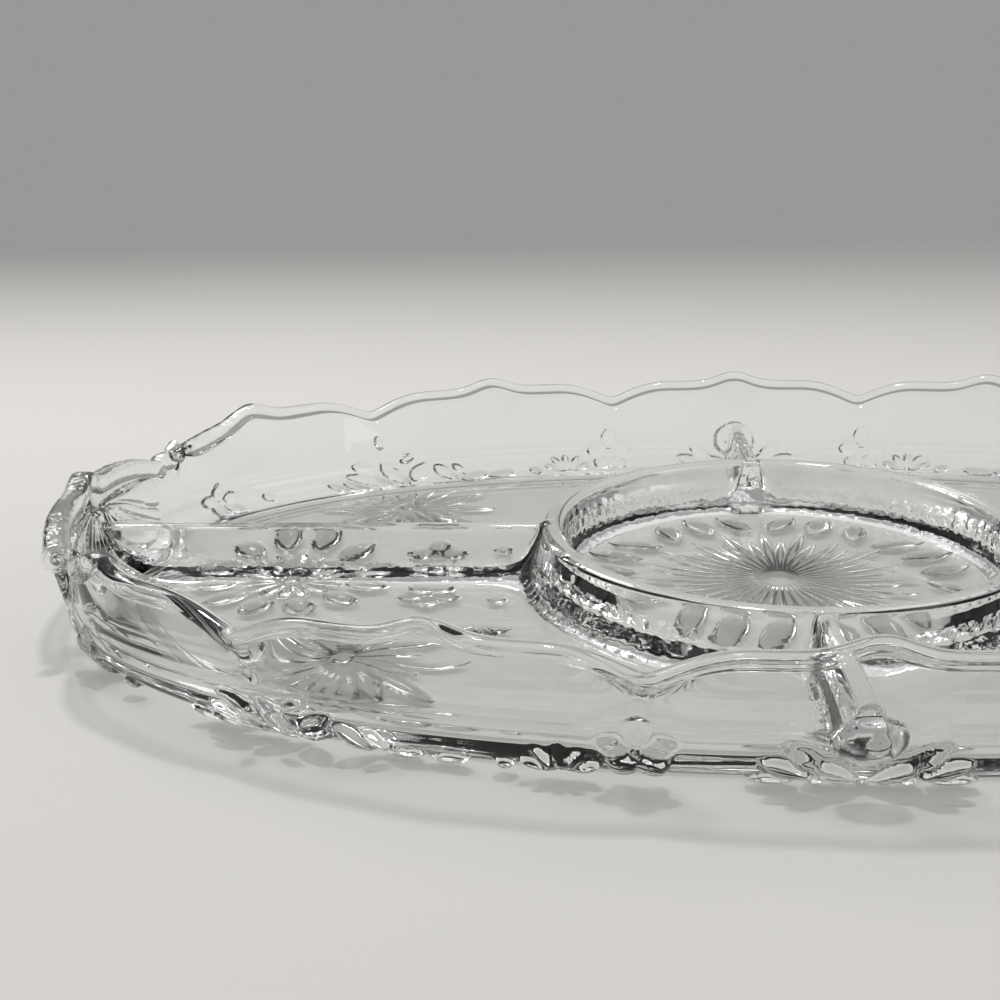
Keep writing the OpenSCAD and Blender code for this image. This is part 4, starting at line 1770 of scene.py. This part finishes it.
@dataclass
class Scroll:
    """Coiled end of a handle's lip: a small disc with a spiral cut into its face.

    Attributes:
        rim: Line of the rim.
        turns: Turns of the spiral.
        rings: Count of rings on the face.
        spokes: Count of points in a ring.
        ahead: Distance of the disc from its post, along the rim.
        aim_step: Length of the rim that gives the disc its direction.
        outward: Distance of its middle outside the rim's line.
        above: Height of its middle over the post's.
        dome: Height of the face's dome.
        groove: Depth of the spiral's groove.
        groove_ends: Share of the radius over which the groove starts, and over which it ends.
        back: Thickness of the disc.
        back_share: Radius of its back, as a share of the face's.
    """

    rim: RimLine
    turns: float = 2.2
    rings: int = 24
    spokes: int = 64
    ahead: float = 4.7
    aim_step: float = 0.5
    outward: float = 0.6
    above: float = 1.4
    dome: float = 0.9
    groove: float = 0.5
    groove_ends: float = 0.25
    back: float = 2.6
    back_share: float = 0.55

    def seat(self, u: float, way: int) -> tuple[np.ndarray, np.ndarray, np.ndarray]:
        """Place of the disc.

        Args:
            u: Run of the scroll.
            way: 1 if the disc faces along the run and -1 if against it.

        Returns:
            The disc's middle, the direction that it faces and the direction out of the rim.
        """
        s, oval = self.rim.oval.sizes, self.rim.oval
        z = s.scroll_z + self.above
        near, far = (
            np.append(oval.at(s.rim_a, s.rim_b, oval.turn_of(np.array(u + way * step))), z)
            for step in (self.ahead - self.aim_step, self.ahead)
        )
        axis = (far - near) / np.linalg.norm(far - near)
        side = np.cross(axis, [0, 0, 1.0]) * way
        return far + side * self.outward, axis, side

    def skin(self, u: float, way: int) -> GlassSkin:
        """Closed disc at a run of the rim.

        Args:
            u: Run of the scroll.
            way: 1 if the disc faces along the run and -1 if against it.

        Returns:
            The disc's skin.
        """
        centre, axis, side = self.seat(u, way)
        radius = self.rim.oval.sizes.scroll_d / 2
        spin = [2 * math.pi * k / self.spokes for k in range(self.spokes)]
        around = [math.cos(a) * side + math.sin(a) * np.array([0, 0, 1.0]) for a in spin]
        points = []
        for i in range(self.rings + 1):
            share = i / self.rings
            edge = min(1.0, (1 - share) / self.groove_ends) * min(1.0, share / self.groove_ends)
            for a, out in zip(spin, around):
                coil = 0.5 + 0.5 * math.cos(2 * math.pi * self.turns * share - a)
                lift = self.dome * math.sqrt(max(0.0, 1 - share ** 2)) + self.groove * coil * edge
                points.append(centre + axis * lift + share * radius * out)
        points += [centre - axis * self.back + self.back_share * radius * out for out in around]
        points, faces = np.array(points), self.faces(way)
        return GlassSkin(points, faces, self.normals(points, faces), np.zeros(len(points)))

    def faces(self, way: int) -> list[list[int]]:
        """Faces between the rings of the disc, and its flat back.

        Args:
            way: 1 if the disc faces along the run and -1 if against it.

        Returns:
            Point numbers of each face.
        """
        faces = []
        for i in range(self.rings + 1):
            a0, b0 = i * self.spokes, (i + 1) * self.spokes
            for k in range(self.spokes):
                n = (k + 1) % self.spokes
                faces.append([a0 + k, b0 + k, b0 + n, a0 + n])
        last = (self.rings + 1) * self.spokes
        faces.append([last + k for k in range(self.spokes - 1, -1, -1)])
        return faces if way > 0 else [f[::-1] for f in faces]

    @staticmethod
    def normals(points: np.ndarray, faces: list[list[int]]) -> np.ndarray:
        """Normals of the points, from the faces round each.

        Args:
            points: Points.
            faces: Point numbers of each face.

        Returns:
            A normal for each point.
        """
        total = np.zeros_like(points)
        for f in faces:
            across = np.cross(points[f[2]] - points[f[0]], points[f[-1]] - points[f[1]])
            total[f] += across
        return total / np.maximum(np.linalg.norm(total, axis=1, keepdims=True), 1e-12)


@dataclass
class GlassTray:
    """The tray's glass, cut into the pieces of its CAD nodes.

    Attributes:
        sizes: Sizes of the tray.
        pitch: Pitch of its grid in millimetres.
        finishes: Material of each finish.
    """

    sizes: TraySizes
    pitch: float
    finishes: dict[Finish, bpy.types.Material] = field(default_factory=dict)

    RELIEF_ENDS = ("_daisy", "_spray", "_shell", "_star", "_blossoms", "_sprigs")
    STIPPLED_ENDS = ("_handle_lip", "_scrolls")
    BEAD_ENDS = ("_rim",)

    def dress(self, name: str) -> tuple[bpy.types.Material, str]:
        """Choose how a piece is dressed.

        Args:
            name: Name of its node.

        Returns:
            Its material and its slot in the record.
        """
        if name.endswith(self.STIPPLED_ENDS):
            return self.finishes[Finish.STIPPLED], "clear_glass"
        if name.endswith(self.RELIEF_ENDS):
            return self.finishes[Finish.RELIEF], "relief_glass"
        if name.endswith(self.BEAD_ENDS):
            return self.finishes[Finish.BEAD], "clear_glass"
        return self.finishes[Finish.CLEAR], "clear_glass"

    def build(self) -> None:
        """Make all pieces and tie them to the frame."""
        self.finishes = {
            Finish.CLEAR: GlassFinish(Finish.CLEAR).material(),
            Finish.BEAD: GlassFinish(Finish.BEAD, shade=(0.65, 0.66, 0.655)).material(),
            Finish.RELIEF: GlassFinish(
                Finish.RELIEF, shade=(0.48, 0.49, 0.48), rough=(0.0, 0.08), wave=0.03,
                least_stipple=0.1,
            ).material(),
            Finish.STIPPLED: GlassFinish(
                Finish.STIPPLED, shade=(0.65, 0.66, 0.655), rough=(0.02, 0.12), wave=0.03
            ).material(),
        }
        oval = Oval(self.sizes)
        rim = RimLine(oval)
        grid = GlassGrid(oval, rim, self.pitch)
        grid.build(ReliefDesign(oval).motifs())
        LOG.info("grid of %d rows and %d columns", *grid.owners.shape)
        scrolls = Scroll(rim)
        for name, skin in GlassSplitter(grid).pieces().items():
            if name.endswith("_scrolls"):
                middle = oval.quarter * (1 if name.startswith("left") else 3)
                for way in (-1, 1):
                    skin.join(scrolls.skin(middle + way * (oval.quarter - rim.handle_run), way))
            self.piece(name, skin)

    def piece(self, name: str, skin: GlassSkin) -> None:
        """Make one piece as a Blender object, tie it to the body and hide the CAD part of its node.

        Args:
            name: Name of the node.
            skin: Skin of the piece.
        """
        mesh = bpy.data.meshes.new(name)
        mesh.from_pydata((skin.points * MM).tolist(), [], skin.faces)
        mesh.polygons.foreach_set("use_smooth", np.ones(len(mesh.polygons), dtype=bool))
        stipple = mesh.attributes.new(STIPPLE, "FLOAT", "POINT")
        stipple.data.foreach_set("value", skin.stipple.astype(np.float32))
        mesh.normals_split_custom_set_from_vertices(skin.normals.tolist())
        material, slot = self.dress(name)
        mesh.materials.append(material)
        obj = bpy.data.objects.new(f"glass_{name}", mesh)
        bpy.context.scene.collection.objects.link(obj)
        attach(obj, BODY)
        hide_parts(name)
        LOG.info("piece %s: %d faces", name, len(mesh.polygons))


@dataclass(frozen=True)
class Lamp:
    """Soft rectangular lamp that faces the middle of the tray.

    Attributes:
        name: Name of the lamp.
        power: Watts.
        size: Width and height in metres.
        place: Place in metres.
    """

    name: str
    power: float
    size: tuple[float, float]
    place: tuple[float, float, float]

    def build(self) -> None:
        """Make the lamp."""
        data = bpy.data.lights.new(self.name, "AREA")
        data.shape = "RECTANGLE"
        data.size, data.size_y = self.size
        data.energy = self.power
        obj = bpy.data.objects.new(self.name, data)
        obj.location = self.place
        obj.rotation_mode = "QUATERNION"
        obj.rotation_quaternion = (-Vector(self.place)).to_track_quat("-Z", "Y")
        bpy.context.scene.collection.objects.link(obj)


@dataclass
class Studio:
    """Plain pale floor, soft lamps and the camera at the photograph's viewing angle.

    Attributes:
        floor_colour: Colour of the paper.
        cloud: Darkest cloud in the paper, as a share of its colour.
        cloud_scale: Clouds per metre.
        cloud_detail: Detail of their noise.
        paper_rough: Roughness of the paper.
        even_tone: Tone of the paper far behind the tray.
        even_from: Distances behind the tray's middle between which that tone sets in, in metres.
        bands: Height of a direction and brightness there, of the surroundings seen in the glass.
        band_blue: Blue of the bands, as a share of their red and green.
        plain_tone: Grey of the even light from all round.
        plain_light: Strength of that light.
        lamps: The lamps.
        lens: Focal length of the camera in millimetres.
        sensor: Width of its sensor.
        clip: Nearest and farthest distance that it shows, in metres.
        place: Place of the camera in millimetres.
        yaw: Turn of the camera to the right in degrees.
        pitch: Its tilt down.
        roll: Its roll.
    """

    floor_colour: tuple[float, float, float] = (0.74, 0.72, 0.69)
    cloud: float = 0.98
    cloud_scale: float = 6.0
    cloud_detail: float = 6.0
    paper_rough: float = 0.9
    even_tone: tuple[float, float, float] = (0.32, 0.316, 0.309)
    even_from: tuple[float, float] = (0.13, 0.8)
    bands: tuple[tuple[float, float], ...] = (
        (0.0, 0.7), (0.08, 0.85), (0.2, 0.75), (0.3, 0.3), (0.5, 0.22), (0.6, 0.75), (0.8, 0.85),
        (0.95, 0.65),
    )
    band_blue: float = 0.99
    plain_tone: float = 0.9
    plain_light: float = 0.33
    lamps: tuple[Lamp, ...] = (
        Lamp("key_lamp", 4.7, (0.5, 0.35), (-0.7, 0.55, 0.95)),
        Lamp("fill_lamp", 1.4, (0.7, 0.5), (0.9, -0.5, 1.0)),
        Lamp("top_lamp", 6.6, (0.12, 0.12), (-0.08, 0.24, 1.25)),
    )
    lens: float = 46.73
    sensor: float = 36.0
    clip: tuple[float, float] = (0.01, 50.0)
    place: tuple[float, float, float] = (-48.0, -290.0, 113.5)
    yaw: float = -3.50
    pitch: float = 17.33
    roll: float = -1.16

    def floor(self) -> None:
        """Floor that turns up into a backdrop behind the tray."""
        front, depth, bend, height, half, steps = -1.6, 1.6, 0.5, 1.4, 3.0, 12
        line = [(front, 0.0), (depth, 0.0)]
        for k in range(1, steps + 1):
            a = math.radians(90 * k / steps)
            line.append((depth + bend * math.sin(a), bend * (1 - math.cos(a))))
        line.append((depth + bend, height))
        points = [(x, y, z) for y, z in line for x in (-half, half)]
        faces = [(2 * k, 2 * k + 1, 2 * k + 3, 2 * k + 2) for k in range(len(line) - 1)]
        mesh = bpy.data.meshes.new("studio_floor")
        mesh.from_pydata(points, [], faces)
        mesh.polygons.foreach_set("use_smooth", np.ones(len(faces), dtype=bool))
        mat = bpy.data.materials.new("studio_paper")
        mat.use_nodes = True
        self.colour_paper(mat.node_tree)
        mesh.materials.append(mat)
        obj = bpy.data.objects.new("studio_floor", mesh)
        bpy.context.scene.collection.objects.link(obj)

    def colour_paper(self, tree: bpy.types.NodeTree) -> None:
        """Give the paper its faint clouds, and one even tone far behind the tray.

        The even tone is what the camera and the glass see. The light on the tray doesn't change.

        Args:
            tree: Node tree of the paper's material.
        """
        nodes = Nodes(tree)
        place = nodes.add("ShaderNodeTexCoord").outputs["Object"]
        clouds = nodes.add("ShaderNodeTexNoise", {
            "Scale": self.cloud_scale, "Detail": self.cloud_detail, "Vector": place
        })
        ramp = nodes.add("ShaderNodeValToRGB", {"Fac": clouds.outputs["Fac"]})
        ramp.color_ramp.elements[0].color = (*[self.cloud * c for c in self.floor_colour], 1)
        ramp.color_ramp.elements[1].color = (*self.floor_colour, 1)
        paper = tree.nodes["Principled BSDF"]
        paper.inputs["Roughness"].default_value = self.paper_rough
        tree.links.new(ramp.outputs["Color"], paper.inputs["Base Color"])
        split = nodes.add("ShaderNodeSeparateXYZ", {"Vector": place})
        far = nodes.add("ShaderNodeMapRange", {
            "Value": split.outputs["Y"], "From Min": self.even_from[0], "From Max": self.even_from[1]
        })
        far.interpolation_type = "SMOOTHSTEP"
        seen = nodes.any_ray("Is Camera Ray", "Is Glossy Ray", "Is Transmission Ray")
        share = nodes.math("MULTIPLY", far.outputs["Result"], seen)
        glow = nodes.add("ShaderNodeEmission", {"Color": (*self.even_tone, 1)})
        tree.links.new(nodes.mix(share, paper, glow), tree.nodes["Material Output"].inputs["Surface"])

    def world(self) -> None:
        """Even pale surroundings, with darker bands that only the glass sees."""
        world = bpy.data.worlds.new("studio_world")
        world.use_nodes = True
        world.node_tree.nodes.clear()
        nodes = Nodes(world.node_tree)
        place = nodes.add("ShaderNodeTexCoord").outputs["Generated"]
        split = nodes.add("ShaderNodeSeparateXYZ", {"Vector": place})
        bands = nodes.add("ShaderNodeValToRGB", {"Fac": split.outputs["Z"]})
        ramp = bands.color_ramp
        while len(ramp.elements) < len(self.bands):
            ramp.elements.new(0.5)
        for element, (at, level) in zip(ramp.elements, self.bands):
            element.position = at
            element.color = (level, level, level * self.band_blue, 1)
        seen = nodes.add("ShaderNodeBackground", {"Color": bands.outputs["Color"], "Strength": 1.0})
        plain = nodes.add("ShaderNodeBackground", {
            "Color": (*[self.plain_tone] * 3, 1), "Strength": self.plain_light
        })
        in_glass = nodes.any_ray("Is Glossy Ray", "Is Transmission Ray")
        nodes.add("ShaderNodeOutputWorld", {"Surface": nodes.mix(in_glass, plain, seen)})
        bpy.context.scene.world = world

    def camera(self) -> None:
        """Camera fitted to the photograph."""
        data = bpy.data.cameras.new("photo_camera")
        data.lens = self.lens
        data.sensor_width = self.sensor
        data.clip_start, data.clip_end = self.clip
        yaw, pitch, roll = (math.radians(v) for v in (self.yaw, self.pitch, self.roll))
        level = math.cos(pitch)
        ahead = Vector((math.sin(yaw) * level, math.cos(yaw) * level, -math.sin(pitch)))
        right = Vector((math.cos(yaw), -math.sin(yaw), 0))
        up = right.cross(ahead)
        right_r = math.cos(roll) * right + math.sin(roll) * up
        up_r = -math.sin(roll) * right + math.cos(roll) * up
        turn = Matrix((right_r, up_r, -ahead)).transposed()
        obj = bpy.data.objects.new("photo_camera", data)
        obj.matrix_world = Matrix.Translation(Vector(self.place) * MM) @ turn.to_4x4()
        bpy.context.scene.collection.objects.link(obj)
        bpy.context.scene.camera = obj

    def build(self) -> None:
        """Set the stage, the lamps and the camera."""
        self.floor()
        self.world()
        for lamp in self.lamps:
            lamp.build()
        self.camera()
        bpy.context.scene.view_settings.view_transform = "Standard"


def main() -> None:
    """Load the frame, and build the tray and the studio."""
    logging.basicConfig(level=logging.INFO, format="%(name)s: %(message)s")
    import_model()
    GlassTray(TraySizes(), PITCH).build()
    Studio().build()
    bpy.context.view_layer.update()


if __name__ == "__main__":
    main()
